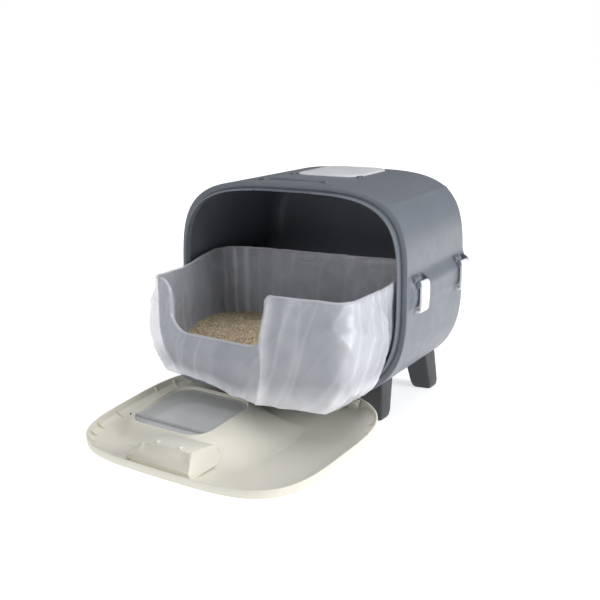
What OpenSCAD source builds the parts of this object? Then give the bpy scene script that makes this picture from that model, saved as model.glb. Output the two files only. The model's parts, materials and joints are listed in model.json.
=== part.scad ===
// Hooded cat litter box on four legs, shown with its tray drawn out and its front door laid on the floor.
// Origin: floor level, in the middle of the whole footprint. +X right, +Y to the back, +Z up. Millimetres.

/* [Body] */
// Width of the shells at the front rim
body_w = 520; // [480:5:560]
// Height of the hood's outline above the middle level
top_h = 212; // [200:1:225]
// Depth of the base's outline below the middle level
bottom_h = 225; // [215:1:235]
// Length of the straight walls, front to back
body_d = 345; // [335:1:360]
// Height of the middle level above the floor
mid_z = 278; // [274:1:284]
// Wall thickness of the shells
wall = 3; // [2.5:0.5:4]
// How far the side ledges stand out
ledge = 11; // [8:1:13]

/* [Tray] */
// How far the tray is drawn out of the box
tray_out = 212; // [180:1:240]
// Length of the tray, front to back
tray_d = 366; // [350:1:370]
// Half width of the tray at its rim
tray_half = 232; // [226:1:234]
// Height of the low entry lip above the floor
entry_z = 199; // [185:1:215]

/* [Door] */
// Height of the door's skirt
skirt_h = 17; // [12:1:22]
// Depth of the door's domed face
dome_d = 21; // [16:1:22]
// Turn of the door on the floor, seen from above
door_turn = -8; // [-12:1:0]
// Tilt of the door, its end near the box raised
door_tilt = 9; // [6:0.5:10]

/* [Legs] */
// Width of a foot across the box
foot_w = 46; // [38:1:54]
// Length of a foot front to back
foot_d = 48; // [40:1:56]

/* [Hidden] */
shift = [0, 42, 0];                  // centres the whole footprint on the origin
gap = 0.4;                           // clearance between bodies that slide or lift
n_top = 3.77;                        // roundness of the upper outline
n_low = 3.16;                        // roundness of the lower outline
split = -10;                         // parting level, from the middle level
rim_w = 17;                          // width of the front flange
neck_y = 16;                         // how far the neck stands forward of the flange
neck_t = 3.4;                        // wall of the neck
half_w = body_w / 2;
back_scale = 0.942;                  // the shells narrow towards the back
side_z = [split, 0, 12, 24, 36, 50]; // levels along the hood's sides
low_z = [split, -16, -23, -32, -44]; // levels along the base's sides
latch_x = -14;                       // middle of the door latch
slot_w = 132;                        // width of the latch slot
hole = [0, 245, 150, 190];           // filter opening: middle x, middle y, width, depth
clip_y = [54, 309];                  // middle of each clip, front and rear
clip_w = 40;
clip_pin_z = 23;                     // clip pivot above the middle level
pin_r = 2;
leg_x = 163;
leg_y = [75, 347];
rail_x = 95;                         // support rails under the tray
rail_top = 93.5;
tray_z = 94.5;
tray_top = 304;
step_x = 72;                         // corner between the low entry and the high front wall
step_y = 56;                         // how far the entry's outer corner is set back
rear_r = 60;                         // corner radius at the tray's back
door_c = [6, -244.6, 37.9];          // middle of the door's lower skirt edge
flap_u = [-206, -18];
flap_v = [-78, 100];
flap_w0 = 8;                         // flap's lower face above the skirt edge
flap_t = 3;
hinge_v = -49;
hinge_w = flap_w0 + flap_t / 2;
tunnel_top = 17;                     // top of the frame round the flap
tunnel_t = 5;
lock_u = -50;                        // middle of the flap's lock
pocket_u = -24;                      // middle of the pocket over the latch

function power(v, n) = sign(v) * pow(abs(v), n);
function oval(a, h, n, t) = [a * power(cos(t), 2 / n), h * power(sin(t), 2 / n)];
function side_at(a, h, n, z) = a * pow(1 - pow(min(1, abs(z) / h), n), 1 / n);
// Smooth 0 to 1 between two values
function ease(v, lo, hi) = let (s = min(1, max(0, (v - lo) / (hi - lo)))) s * s * (3 - 2 * s);

// Upper outline from the right parting edge over the top to the left one, as [x, z]
function top_line(a, h, out = 0, drop = split) = let (
    right = [for (z = side_z) let (q = z == split ? drop : z)
        [side_at(a, h, n_top, max(0, q)) + out * (1 - ease(q, 0, 46)), q]])
    concat(right, [for (t = [10:8:170]) oval(a, h, n_top, t)],
        [for (i = [len(right) - 1:-1:0]) [-right[i][0], right[i][1]]]);
// Lower outline from the left parting edge under the bottom to the right one
function low_line(a, h, out = 0, rise = split) = let (
    left = [for (z = low_z) let (q = z == split ? rise : z)
        [-side_at(a, h, n_low, min(0, q)) - out * (1 - ease(-q, 20, 34)), q]])
    concat(left, [for (t = [187:8:353]) oval(a, h, n_low, t)],
        [for (i = [len(left) - 1:-1:0]) [-left[i][0], left[i][1]]]);

// A closed solid through a row of closed rings with equal point counts; turned swaps its facets' diagonals
module loft(rings, turned = false) {
    n = len(rings[0]);
    m = len(rings);
    polyhedron([for (r = rings) each r], concat(
        [[for (i = [n - 1:-1:0]) i]],
        [for (k = [0:m - 2], i = [0:n - 1]) let (j = (i + 1) % n, a = k * n, b = (k + 1) * n)
            turned ? [a + i, a + j, b + i] : [a + i, b + j, b + i]],
        [for (k = [0:m - 2], i = [0:n - 1]) let (j = (i + 1) % n, a = k * n, b = (k + 1) * n)
            turned ? [a + j, b + j, b + i] : [a + i, a + j, b + j]],
        [[for (i = [0:n - 1]) (m - 1) * n + i]]));
}
// One closed shell from open rings that run from one parting edge to the other, inner back wall first
module shell(rings) {
    n = len(rings[0]);
    m = len(rings);
    polyhedron([for (r = rings) each r], concat(
        [[for (i = [n - 1:-1:0]) i]],
        [for (k = [0:m - 2], i = [0:n - 2]) [k * n + i, (k + 1) * n + i + 1, (k + 1) * n + i]],
        [for (k = [0:m - 2], i = [0:n - 2]) [k * n + i, k * n + i + 1, (k + 1) * n + i + 1]],
        [[for (i = [0:n - 1]) (m - 1) * n + i]],
        [concat([for (k = [0:m - 1]) k * n], [for (k = [m - 1:-1:0]) k * n + n - 1])]));
}
function ring_y(line, y) = [for (p = line) [p[0], y, p[1]]];
function at_back(y) = 1 - (1 - back_scale) * min(body_d, max(0, y)) / body_d;
// Ledge growth along the box: none at the rim, full from 20 mm back
function ledge_at(y) = ledge * ease(y, 7, 20);
// Places where the outline is drawn, as [y, inset]: the rim, the straight walls and the rounded back edge
stations = [[0, 0], [7, 0], [13, 0], [20, 0], [body_d, 0],
    [body_d + 16, 4], [body_d + 26, 13], [body_d + 31, 28]];
function inner_y(y) = y == 0 ? wall : y > body_d ? y - wall : y;
function hood_line(y, inset) = ring_y(top_line(half_w * at_back(y) - inset, top_h - inset,
    ledge_at(y), split + gap), y);
function base_line(y, inset) = ring_y(low_line(half_w * at_back(y) - inset, bottom_h - inset,
    ledge_at(y) * 0.8, split), y);
function hood_rings(inset) = [for (s = stations) hood_line(inset > 0 ? inner_y(s[0]) : s[0], s[1] + inset)];
function base_rings(inset) = [for (s = stations) base_line(inset > 0 ? inner_y(s[0]) : s[0], s[1] + inset)];
function backwards(list) = [for (i = [len(list) - 1:-1:0]) list[i]];
// The neck inside the flange, as [y, wall added]
neck = [[wall, 0], [-neck_y, 0], [-neck_y, neck_t], [0, neck_t]];

module place_box() { translate(shift + [0, 0, mid_z]) children(); }

// A rounded rectangle with true arcs
module soft_rect(w, d, r) {
    square([w - 2 * r, d], center = true);
    square([w, d - 2 * r], center = true);
    for (x = [-1, 1], y = [-1, 1])
        translate([x * (w / 2 - r), y * (d / 2 - r)])
            circle(r, $fn = 48);
}

module hood_shell() {
    color("#858b94") place_box() difference() {
        shell(concat(backwards(hood_rings(wall)), [for (e = neck)
            ring_y(top_line(half_w - rim_w + e[1], top_h - rim_w + e[1], 0, split + gap), e[0])],
            hood_rings(0)));
        // shallow notch in the neck's top edge
        translate([latch_x - 68, -neck_y - 1, top_h - rim_w - 4])
            cube([136, 10, 12]);
        // latch slot in the top, behind the rim
        translate([latch_x - slot_w / 2, 52, top_h - 8])
            cube([slot_w, 9, 16]);
        // filter opening
        translate([hole[0], hole[1], top_h - 14])
            linear_extrude(30)
                soft_rect(hole[2], hole[3], 40);
    }
}

// Screw of each leg: its place along the box and the level of its head on the base's floor
function screw_y(y) = y == leg_y[0] ? y + 14 : y - 22;
function screw_z(y) = 0.3 - (bottom_h - wall) *
    pow(1 - pow((leg_x + 5) / (half_w * at_back(screw_y(y)) - wall), n_low), 1 / n_low);
module base_shell() {
    color("#858b94") place_box() difference() {
        shell(concat(backwards(base_rings(wall)), [for (e = neck)
            ring_y(low_line(half_w - rim_w + e[1], bottom_h - rim_w + e[1], 0, split), e[0])],
            base_rings(0)));
        for (x = [-leg_x, leg_x], y = leg_y)
            translate([x, screw_y(y), -mid_z])
                cylinder(r = 2.4, h = 120, $fn = 24);
    }
}

// Two rails that carry the tray on the base's floor
module tray_rails() {
    color("#6b7078") place_box() difference() {
        for (s = [-1, 1])
            translate([s * rail_x - 3, 12, -bottom_h])
                cube([6, 330, rail_top - mid_z + bottom_h]);
        difference() {
            translate([-half_w, -5, -bottom_h - 10])
                cube([body_w, 400, 60]);
            loft(base_rings(wall), true);
        }
    }
}

// A tapered slab that leans outwards, its top shaped to the base's underside
module leg(sx, y_foot, y_top) {
    color("#3a3b3e") place_box() difference() {
        hull() {
            translate([sx * leg_x - foot_w / 2, y_foot - foot_d / 2, -mid_z + 2])
                cube([foot_w, foot_d, 1]);
            translate([sx * (leg_x - 8) - 28, y_top - 30, -bottom_h + 40])
                cube([56, 60, 1]);
        }
        loft(base_rings(0));
        translate([sx * leg_x, screw_y(y_foot), -mid_z + 30])
            cylinder(r = 2.1, h = 60, $fn = 24);
    }
}
module leg_front_left() { leg(-1, leg_y[0], leg_y[0] + 14); }
module leg_front_right() { leg(1, leg_y[0], leg_y[0] + 14); }
module leg_rear_left() { leg(-1, leg_y[1], leg_y[1] - 24); }
module leg_rear_right() { leg(1, leg_y[1], leg_y[1] - 24); }

module leg_screws() {
    color("silver") place_box()
        for (x = [-leg_x, leg_x], y = leg_y)
            translate([x, screw_y(y), screw_z(y)]) {
                translate([0, 0, -38])
                    cylinder(r = 2, h = 39, $fn = 24);
                cylinder(r = 5, h = 3, $fn = 32);
            }
}
module foot_pads() {
    color("#222222") translate(shift)
        for (x = [-leg_x, leg_x], y = leg_y)
            translate([x, y, 0])
                linear_extrude(2)
                    soft_rect(foot_w - 8, foot_d - 8, 6);
}

// Lugs on the hood that carry the clips
module lug_at(sx, y) {
    x0 = half_w * at_back(y) + ledge - wall;
    for (e = [-1, 1])
        translate([sx > 0 ? x0 - 4 : -x0 - 12, y + e * (clip_w / 2 + 3.2) - 2.5, clip_pin_z - 6])
            difference() {
                cube([16, 5, 12]);
                translate([sx > 0 ? clip_px(y) - x0 + 4 : x0 + 12 - clip_px(y), -1, 6])
                    rotate([-90, 0, 0])
                        cylinder(r = pin_r + 0.1, h = 8, $fn = 32);
            }
}
function clip_px(y) = half_w * at_back(y) + ledge + 3.5;
module clip_lugs() {
    color("#8d939b") place_box() difference() {
        for (sx = [-1, 1], y = clip_y)
            lug_at(sx, y);
        loft(hood_rings(0));
    }
}
module clip_pins() {
    color("#c9ccd0") place_box()
        for (sx = [-1, 1], y = clip_y)
            translate([sx * clip_px(y), y - clip_w / 2 - 5, clip_pin_z])
                rotate([-90, 0, 0])
                    cylinder(r = pin_r, h = clip_w + 10, $fn = 32);
}
// A clip that hangs from its pin and hooks under the base's ledge
module clip(sx, y) {
    color("#f4f6f8") place_box()
        translate([sx * clip_px(y), y, 0])
            scale([sx, 1, 1])
                difference() {
                    union() {
                        translate([0, 0, clip_pin_z])
                            rotate([90, 0, 0])
                                cylinder(r = 4.6, h = clip_w, center = true, $fn = 40);
                        translate([0.8, -clip_w / 2, -30])
                            cube([3.8, clip_w, clip_pin_z + 30]);
                        translate([-8.5, -clip_w / 2, -36])
                            cube([13.1, clip_w, 6.5]);
                    }
                    translate([0, 0, clip_pin_z])
                        rotate([90, 0, 0])
                            cylinder(r = pin_r + 0.06, h = clip_w + 2, center = true, $fn = 32);
                }
}
module clip_front_left() { clip(-1, clip_y[0]); }
module clip_front_right() { clip(1, clip_y[0]); }
module clip_rear_left() { clip(-1, clip_y[1]); }
module clip_rear_right() { clip(1, clip_y[1]); }

// Filter group in the hood's top
module filter_grille() {
    color("#6b7078") place_box()
        translate([hole[0], hole[1], top_h - 17]) {
            linear_extrude(3)
                difference() {
                    soft_rect(hole[2] + 22, hole[3] + 22, 46);
                    for (i = [-3:3], j = [-4:4])
                        translate([i * 20, j * 20])
                            square([14, 14], center = true);
                }
            linear_extrude(14 - wall)
                difference() {
                    soft_rect(hole[2] + 6, hole[3] + 6, 42);
                    soft_rect(hole[2] + 1, hole[3] + 1, 40);
                }
        }
}
module filter_pad() {
    color("#2b2d30") place_box()
        translate([hole[0], hole[1], top_h - 14])
            linear_extrude(8)
                soft_rect(hole[2] - 4, hole[3] - 4, 38);
}
module filter_cover() {
    color("#e8eaec") place_box()
        translate([hole[0], hole[1], top_h - 5])
            difference() {
                linear_extrude(7)
                    soft_rect(hole[2] - 2, hole[3] - 2, 39);
                translate([0, 0, -1])
                    linear_extrude(5.4)
                        soft_rect(hole[2] - 8, hole[3] - 8, 36);
            }
}

// Half width of the tray at a level, inside the neck's outline
function tray_w(z) = min(tray_half + 2 * ease(z, 250, 300),
    side_at(half_w - rim_w, bottom_h - rim_w, n_low, min(0, z - mid_z)) - 8);
// Arc points about c from angle a0 to a1
function arc(c, r, a0, a1, steps) = [for (i = [0:steps]) let (a = a0 + (a1 - a0) * i / steps)
    c + r * [cos(a), sin(a)]];
// Plan of the tray at half width w, drawn in by d, front edge at y 0
function tray_plan(w, d) = let (r = 34, s = atan(step_y / (w + step_x))) concat(
    arc([w - d - r, d + r], r, 0, -90, 6),
    [[step_x + 6 - d * 0.4, d]],
    arc([-w + d + r, d + r + step_y], r, -90 - s, -180, 6),
    arc([-w + d + rear_r, tray_d - d - rear_r], rear_r, 180, 90, 6),
    arc([w - d - rear_r, tray_d - d - rear_r], rear_r, 90, 0, 6));
function tray_ring(z, d) = [for (p = tray_plan(tray_w(z), d)) [p[0], p[1] - tray_out + shift[1] - 4, z]];
tray_levels = [tray_z, 98, 106, 120, 145, 200, 252, tray_top];
module place_tray() { translate([shift[0], 0, 0]) children(); }
// The low entry, cut through the front wall's left part
module entry_cut(grow) {
    translate([-182 - grow, -tray_out - 60, entry_z - grow])
        rotate([90, 0, 0])
            mirror([0, 0, 1])
                linear_extrude(110)
                    union() {
                        translate([44, 0])
                            square([153 + 2 * grow, 160]);
                        translate([0, 44])
                            square([241 + 2 * grow, 160]);
                        for (x = [44, 197 + 2 * grow])
                            translate([x, 44])
                                circle(44, $fn = 64);
                    }
}
module tray() {
    color("#8b9199") place_tray() difference() {
        loft([for (z = tray_levels) tray_ring(z, z == tray_z ? 12 : z == 98 ? 4 : 0)]);
        loft([for (z = concat([for (q = tray_levels) q + (q == tray_z ? 3 : 0)], [tray_top + 30]))
            tray_ring(z, z == tray_z + 3 ? 14 : z == 98 ? 7 : 3)]);
        translate([0, shift[1], 0])
            entry_cut(0);
    }
}

// Film folded over the rim: an inner bag, a fold and an outer skirt, kept as one thin closed solid
module liner() {
    color([0.85, 0.87, 0.9, 0.5]) place_tray() difference() {
        loft([for (z = [106, 120, 145, 200, 252, tray_top + 2]) tray_ring(z, -2.2)]);
        loft([for (z = [104, 120, 145, 200, 252, tray_top + 0.9]) tray_ring(z, -1.2)]);
        loft([for (z = [tray_top - 3, tray_top + 3]) tray_ring(z, 5)]);
        translate([0, shift[1], 0])
            entry_cut(-1.4);
    }
}

// Granules: a flat bed that rises towards the back
module litter() {
    color("#b9a78c") place_tray()
        intersection() {
            loft([for (z = [tray_z + 4, 100, 106, 120, 145, 205])
                tray_ring(z, z < 99 ? 14 : z < 105 ? 9 : 5.2)]);
            translate([-260, -tray_out + shift[1] - 4, 0])
                rotate([90, 0, 90])
                    linear_extrude(520)
                        polygon([[0, 90], [0, 150], [60, 156], [150, 176], [250, 186], [380, 180],
                            [380, 90]]);
        }
}

// Door group, built lying with its inside up: x to the right, y towards the box, z up
module place_door() {
    translate([shift[0] + door_c[0], shift[1] + door_c[1], door_c[2]])
        rotate([0, 0, door_turn])
            rotate([door_tilt, 0, 0])
                rotate([0, 1.7, 0])
                    children();
}
function door_line(s, z) = [for (t = [0:6:174]) let (p = oval(half_w * s, bottom_h * s, n_low, t))
    [p[0], p[1], z]];
function door_line2(s, z) = [for (t = [180:6:354]) let (p = oval(half_w * s, top_h * s, n_top, t))
    [p[0], p[1], z]];
function door_ring(s, z) = concat(door_line(s, z), door_line2(s, z));
function dome(s) = -dome_d * (1 - pow(s, 2.4));
module flap_hole(grow) {
    translate([(flap_u[0] + flap_u[1]) / 2, (flap_v[0] + flap_v[1]) / 2])
        soft_rect(flap_u[1] - flap_u[0] + 2 * grow, flap_v[1] - flap_v[0] + 2 * grow, 42 + grow);
}
module door_dish() {
    difference() {
        loft(concat([door_ring(1, skirt_h)], [for (s = [1, 0.97, 0.9, 0.78, 0.62, 0.4, 0.15])
            door_ring(s, dome(s))]));
        loft(concat([door_ring(0.988, skirt_h + 1), door_ring(0.986, 3)],
            [for (s = [0.96, 0.9, 0.78, 0.62, 0.4, 0.15]) door_ring(s * 0.99, dome(s) + 3)]));
    }
}
module front_door() {
    color("#e4e1d6") place_door() difference() {
        door_dish();
        translate([0, 0, -60])
            linear_extrude(120)
                flap_hole(tunnel_t + 1);
        translate([latch_x - 45, -182, -60])
            cube([90, 74, 60]);
    }
}
module flap_tunnel() {
    color("#eceadf") place_door() difference() {
        translate([0, 0, -20])
            linear_extrude(tunnel_top + 20)
                difference() {
                    flap_hole(tunnel_t + 1);
                    flap_hole(1.2);
                }
        for (u = [flap_u[0] - 4, flap_u[1] + 4])
            translate([u, hinge_v, hinge_w])
                rotate([0, 90, 0])
                    cylinder(r = 2.56, h = 14, center = true, $fn = 32);
    }
}
// Two hooks near the end that lies by the box, their feet shaped to the dish
module door_hooks() {
    color("#e4e1d6") place_door() difference() {
        for (u = [-150, 150])
            translate([u - 11, 190, -0.9])
                difference() {
                    cube([22, 12, 16]);
                    translate([-1, 4, 9.5])
                        cube([24, 4, 15]);
                }
        door_dish();
    }
}
// Pocket over the latch: a steep front with two round holes, its back falling towards the flap
module latch_housing() {
    color("#dedbcf") place_door() difference() {
        translate([pocket_u - 60, 0, 0])
            rotate([90, 0, 90])
                linear_extrude(120)
                    polygon([[-186, 0], [-186, 8], [-160, 36], [-150, 37], [-92, 20], [-86, 16], [-86, -13],
                        [-120, -10]]);
        translate([pocket_u - 56, 0, 0])
            rotate([90, 0, 90])
                linear_extrude(112)
                    polygon([[-180, -12], [-180, 5], [-157, 30], [-150, 32], [-95, 16], [-90, 13],
                        [-90, -16]]);
        for (u = [-1, 1])
            translate([pocket_u + u * 45, -169, 26])
                rotate([47, 0, 0])
                    cylinder(r = 8, h = 16, center = true, $fn = 40);
        translate([latch_x - 45, -187, -60])
            cube([90, 74, 65]);
    }
}
module door_latch() {
    color("#d5d2c6") place_door()
        translate([latch_x, -150, -6]) {
            translate([-40, -28, 0])
                cube([80, 56, 4]);
            for (u = [-34, 34])
                translate([u - 3, -14, 4])
                    cube([6, 34, 5]);
        }
}
module latch_spring() {
    color("silver") place_door()
        translate([latch_x, -122, -2])
            rotate([-90, 0, 0])
                difference() {
                    cylinder(r = 3.5, h = 32, $fn = 32);
                    translate([0, 0, -1])
                        cylinder(r = 2.4, h = 34, $fn = 32);
                }
}
module flap() {
    color([0.45, 0.46, 0.48, 0.6]) place_door() difference() {
        union() {
            translate([0, 0, flap_w0])
                linear_extrude(flap_t)
                    flap_hole(-0.6);
            translate([(flap_u[0] + flap_u[1]) / 2, hinge_v, hinge_w])
                rotate([0, 90, 0])
                    cylinder(r = 4.4, h = flap_u[1] - flap_u[0] - 10, center = true, $fn = 40);
        }
        for (s = [0, 1])
            translate([flap_u[s], hinge_v, hinge_w])
                rotate([0, 90, 0])
                    cylinder(r = 2.56, h = 34, center = true, $fn = 32);
    }
}
module flap_hinge_pins() {
    color("#55575a") place_door()
        for (s = [-1, 1])
            translate([(flap_u[0] + flap_u[1]) / 2 + s * ((flap_u[1] - flap_u[0]) / 2 - 1), hinge_v, hinge_w])
                rotate([0, 90, 0])
                    cylinder(r = 2.5, h = 30, center = true, $fn = 32);
}
module flap_lock_guide() {
    color("#9fa09c") place_door()
        translate([lock_u - 42, flap_v[1] + tunnel_t + 1.3, 8])
            difference() {
                cube([84, 12, 16]);
                translate([4, 3, 6])
                    cube([76, 6, 12]);
            }
}
module flap_lock() {
    color("#f4f4f0") place_door()
        translate([lock_u - 10, flap_v[1] + tunnel_t + 4.8, 14.6])
            cube([44, 5, 12]);
}

base_shell();
leg_front_left();
leg_front_right();
leg_rear_left();
leg_rear_right();
leg_screws();
foot_pads();
tray_rails();
hood_shell();
clip_front_left();
clip_front_right();
clip_rear_left();
clip_rear_right();
clip_lugs();
clip_pins();
filter_cover();
filter_pad();
filter_grille();
tray();
liner();
litter();
front_door();
flap_tunnel();
latch_housing();
door_latch();
latch_spring();
flap();
flap_hinge_pins();
flap_lock();
flap_lock_guide();
door_hooks();
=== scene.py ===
"""Hooded cat litter box with its lined tray drawn out and its front door laid on the floor.

The pieces are drawn round the CAD frame. Lengths inside the functions are millimetres in the box's own
axes: x from the middle, y back from the front flange, z up from the middle level of the shells.
"""
import json

import bmesh
import bpy
import numpy as np
from mathutils import Matrix, Vector


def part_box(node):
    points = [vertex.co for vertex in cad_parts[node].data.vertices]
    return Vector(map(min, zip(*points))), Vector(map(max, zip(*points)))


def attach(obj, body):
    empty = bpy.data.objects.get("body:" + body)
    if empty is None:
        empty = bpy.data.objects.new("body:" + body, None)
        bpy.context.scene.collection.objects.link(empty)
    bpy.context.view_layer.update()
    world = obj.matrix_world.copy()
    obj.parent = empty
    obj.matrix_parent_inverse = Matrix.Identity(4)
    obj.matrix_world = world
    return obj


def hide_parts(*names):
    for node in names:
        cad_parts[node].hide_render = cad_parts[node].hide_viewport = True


bl_info = {
    "name": "Hooded litter box",
    "version": (1, 0, 0),
    "blender": (4, 5, 0),
    "location": "View3D > Sidebar > Litter Box",
    "description": "Draws a hooded litter box with a lined tray and a flap door round its CAD frame",
    "category": "Object",
}

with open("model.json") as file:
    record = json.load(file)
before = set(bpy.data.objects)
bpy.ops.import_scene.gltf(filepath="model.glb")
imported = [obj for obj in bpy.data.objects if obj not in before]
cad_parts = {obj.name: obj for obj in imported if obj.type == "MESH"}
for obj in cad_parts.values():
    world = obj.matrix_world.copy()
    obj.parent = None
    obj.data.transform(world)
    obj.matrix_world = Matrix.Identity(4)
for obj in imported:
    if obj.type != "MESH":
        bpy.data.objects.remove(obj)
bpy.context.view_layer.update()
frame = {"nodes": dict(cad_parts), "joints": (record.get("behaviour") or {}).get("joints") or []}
JOINTS = {j["name"]: j for j in frame["joints"]}

# ---------------------------------------------------------------- frame
MM = 0.001
NECK = 16.0
SPLIT = -10.0
GAP = 0.4
FRONT_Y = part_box("hood_shell")[0][1] * 1000 + NECK
MID_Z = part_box("hood_shell")[0][2] * 1000 - (SPLIT + GAP)
TRAY_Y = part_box("tray")[0][1] * 1000
TRAY_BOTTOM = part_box("tray")[0][2] * 1000
BACK_SCALE = 0.942
N_TOP, N_LOW = 3.77, 3.16
WALL = 3.0
RIM_W = 17.0
NECK_T = 3.4
BASE_LEDGE = 0.8          # the base's ledge against the hood's
LATCH_X = -14.0           # middle of the latch and its slot, a little left of the box's middle

# Door axes: along the hinge, towards the box, out of the face that lies upwards
DOOR_U = np.array(JOINTS["flap_swing"]["axis"], float)
DOOR_V = np.array(JOINTS["latch_press"]["axis"], float)
DOOR_W = np.cross(DOOR_U, DOOR_V)
HINGE_V, HINGE_W, FLAP_MID_U = -49.0, 9.5, -112.0
DOOR_O = np.array(JOINTS["flap_swing"]["pos_m"], float) * 1000 - (
    FLAP_MID_U * DOOR_U + HINGE_V * DOOR_V + HINGE_W * DOOR_W)


def in_box(points):
    """Box axes in mm to the frame in metres."""
    return (np.asarray(points, float) + [0, FRONT_Y, MID_Z]) * MM


def on_floor(points):
    """Frame axes in mm to metres."""
    return np.asarray(points, float) * MM


def in_door(points):
    """Door axes in mm to the frame in metres."""
    p = np.asarray(points, float)
    return (DOOR_O + p[:, :1] * DOOR_U + p[:, 1:2] * DOOR_V + p[:, 2:3] * DOOR_W) * MM


# ---------------------------------------------------------------- settings
class ShellSettings(bpy.types.PropertyGroup):
    """Sizes and colours of the hood and base"""
    half_width: bpy.props.FloatProperty(name="Half width", description="Half the width at the front rim, mm",
                                        default=260.0, min=230, max=290)
    top: bpy.props.FloatProperty(name="Top", description="Height of the hood above the middle level, mm",
                                 default=212.0, min=190, max=230)
    bottom: bpy.props.FloatProperty(name="Bottom", description="Depth of the base below the middle level, mm",
                                    default=225.0, min=205, max=240)
    depth: bpy.props.FloatProperty(name="Depth", description="Length of the straight walls, mm",
                                   default=345.0, min=330, max=360)
    ledge: bpy.props.FloatProperty(name="Ledge", description="How far the side ledges stand out, mm",
                                   default=11.0, min=6, max=13)
    crease: bpy.props.FloatProperty(name="Crease", description="Height of the hood's shoulder crease, mm",
                                    default=2.4, min=0, max=4)


class TraySettings(bpy.types.PropertyGroup):
    """Sizes of the tray, its film liner and the litter"""
    lip: bpy.props.FloatProperty(name="Entry lip", description="Height of the low entry above the floor, mm",
                                 default=199.0, min=180, max=220)
    rim: bpy.props.FloatProperty(name="Rim", description="Height of the tray's rim above the floor, mm",
                                 default=304.0, min=290, max=310)
    bulge: bpy.props.FloatProperty(name="Film bulge", description="How far the film stands off the tray, mm",
                                   default=13.0, min=3, max=16)
    grains: bpy.props.FloatProperty(name="Grain density", description="Loose granules per square metre",
                                    default=52000.0, min=1000, max=90000)
    grain: bpy.props.FloatProperty(name="Grain size", description="Radius of one granule",
                                   default=0.0019, min=0.001, max=0.004, subtype="DISTANCE", unit="LENGTH")


class DoorSettings(bpy.types.PropertyGroup):
    """Sizes of the front door"""
    skirt: bpy.props.FloatProperty(name="Skirt", description="Height of the door's edge, mm", default=17.0,
                                   min=10, max=24)
    dome: bpy.props.FloatProperty(name="Dome", description="Depth of the door's dish, mm", default=21.0,
                                  min=10, max=22)


class ColourSettings(bpy.types.PropertyGroup):
    """Finish colours"""
    shell: bpy.props.StringProperty(name="Shell", description="Colour of the shells, sRGB hex",
                                    default="#6b7079")
    leg: bpy.props.StringProperty(name="Legs", description="Colour of the legs, sRGB hex", default="#2e2f33")
    door: bpy.props.StringProperty(name="Door", description="Colour of the door, sRGB hex", default="#e2dfd2")
    tray: bpy.props.StringProperty(name="Tray", description="Colour of the tray, sRGB hex", default="#7f868f")
    litter: bpy.props.StringProperty(name="Litter", description="Colour of the granules, sRGB hex",
                                     default="#c9b89e")


def settings():
    """The shell, tray, door and colour settings of the scene."""
    scene = bpy.context.scene
    return scene.litter_shell, scene.litter_tray, scene.litter_door, scene.litter_colour


# ---------------------------------------------------------------- small tools
def linear(code, alpha=1.0):
    """sRGB hex to a linear colour."""
    code = code.lstrip("#")
    out = []
    for k in (0, 2, 4):
        c = int(code[k:k + 2], 16) / 255
        out.append(c / 12.92 if c <= 0.04045 else ((c + 0.055) / 1.055) ** 2.4)
    return (*out, alpha)


def ease(v, lo, hi):
    """0 below lo and 1 above hi, with a smooth step between; lo may be the larger."""
    s = np.clip((np.asarray(v, float) - lo) / (hi - lo), 0, 1)
    return s * s * (3 - 2 * s)


def power(v, n):
    """A power that keeps the sign of its base."""
    return np.sign(v) * np.abs(v) ** n


def side_at(a, h, n, z):
    """Half width of a superellipse of half width a and height h at level z."""
    return a * (1 - np.minimum(1, np.abs(z) / h) ** n) ** (1 / n)


def value_noise(a, b, seed, period=None):
    """Smooth noise from 0 to 1 on a grid of whole numbers; period repeats it along a."""
    rng = np.random.RandomState(seed)
    table = rng.rand(512, 512)
    i, j = np.floor(a).astype(int), np.floor(b).astype(int)
    fa, fb = a - i, b - j
    fa, fb = fa * fa * (3 - 2 * fa), fb * fb * (3 - 2 * fb)

    def cell(p, q):
        p = p % (period or 512)
        return table[p, q % 512]
    return ((cell(i, j) * (1 - fa) + cell(i + 1, j) * fa) * (1 - fb)
            + (cell(i, j + 1) * (1 - fa) + cell(i + 1, j + 1) * fa) * fb)


def ridges(a, b, seed, period=None):
    """Sharp crests, 0 to 1, as a crumpled film has."""
    return (1 - np.abs(2 * value_noise(a, b, seed, period) - 1)) ** 3


def grid_faces(rows, cols, closed=False):
    """Quads of a grid of rows by cols points; closed joins the last column to the first."""
    out = []
    for r in range(rows - 1):
        for c in range(cols if closed else cols - 1):
            d = (c + 1) % cols
            out.append((r * cols + c, r * cols + d, (r + 1) * cols + d, (r + 1) * cols + c))
    return out


def new_piece(name, points, faces, smooth=35.0):
    """A mesh object from points in metres, smooth except at edges sharper than the angle."""
    mesh = bpy.data.meshes.new(name)
    mesh.from_pydata([tuple(p) for p in points], [], faces)
    mesh.update()
    piece = bpy.data.objects.new(name, mesh)
    bpy.context.scene.collection.objects.link(piece)
    soften(piece, smooth)
    return piece


def soften(piece, smooth=35.0):
    """Smooth shading, except at edges sharper than the angle."""
    piece.data.shade_smooth()
    piece.data.set_sharp_from_angle(angle=np.radians(smooth))


def bake(piece):
    """Applies the piece's modifiers to its mesh."""
    view = bpy.context.view_layer
    view.update()
    done = bpy.data.meshes.new_from_object(piece.evaluated_get(view.depsgraph))
    piece.modifiers.clear()
    old = piece.data
    piece.data = done
    done.name = piece.name
    bpy.data.meshes.remove(old)
    return piece


def bevelled(piece, width, segments=3, angle=30.0):
    """Rounds the piece's sharp edges; the width is in mm."""
    m = piece.modifiers.new("edges", "BEVEL")
    m.width, m.segments, m.limit_method, m.angle_limit = width * MM, segments, "ANGLE", np.radians(angle)
    bake(piece)
    soften(piece)
    return piece


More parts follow.
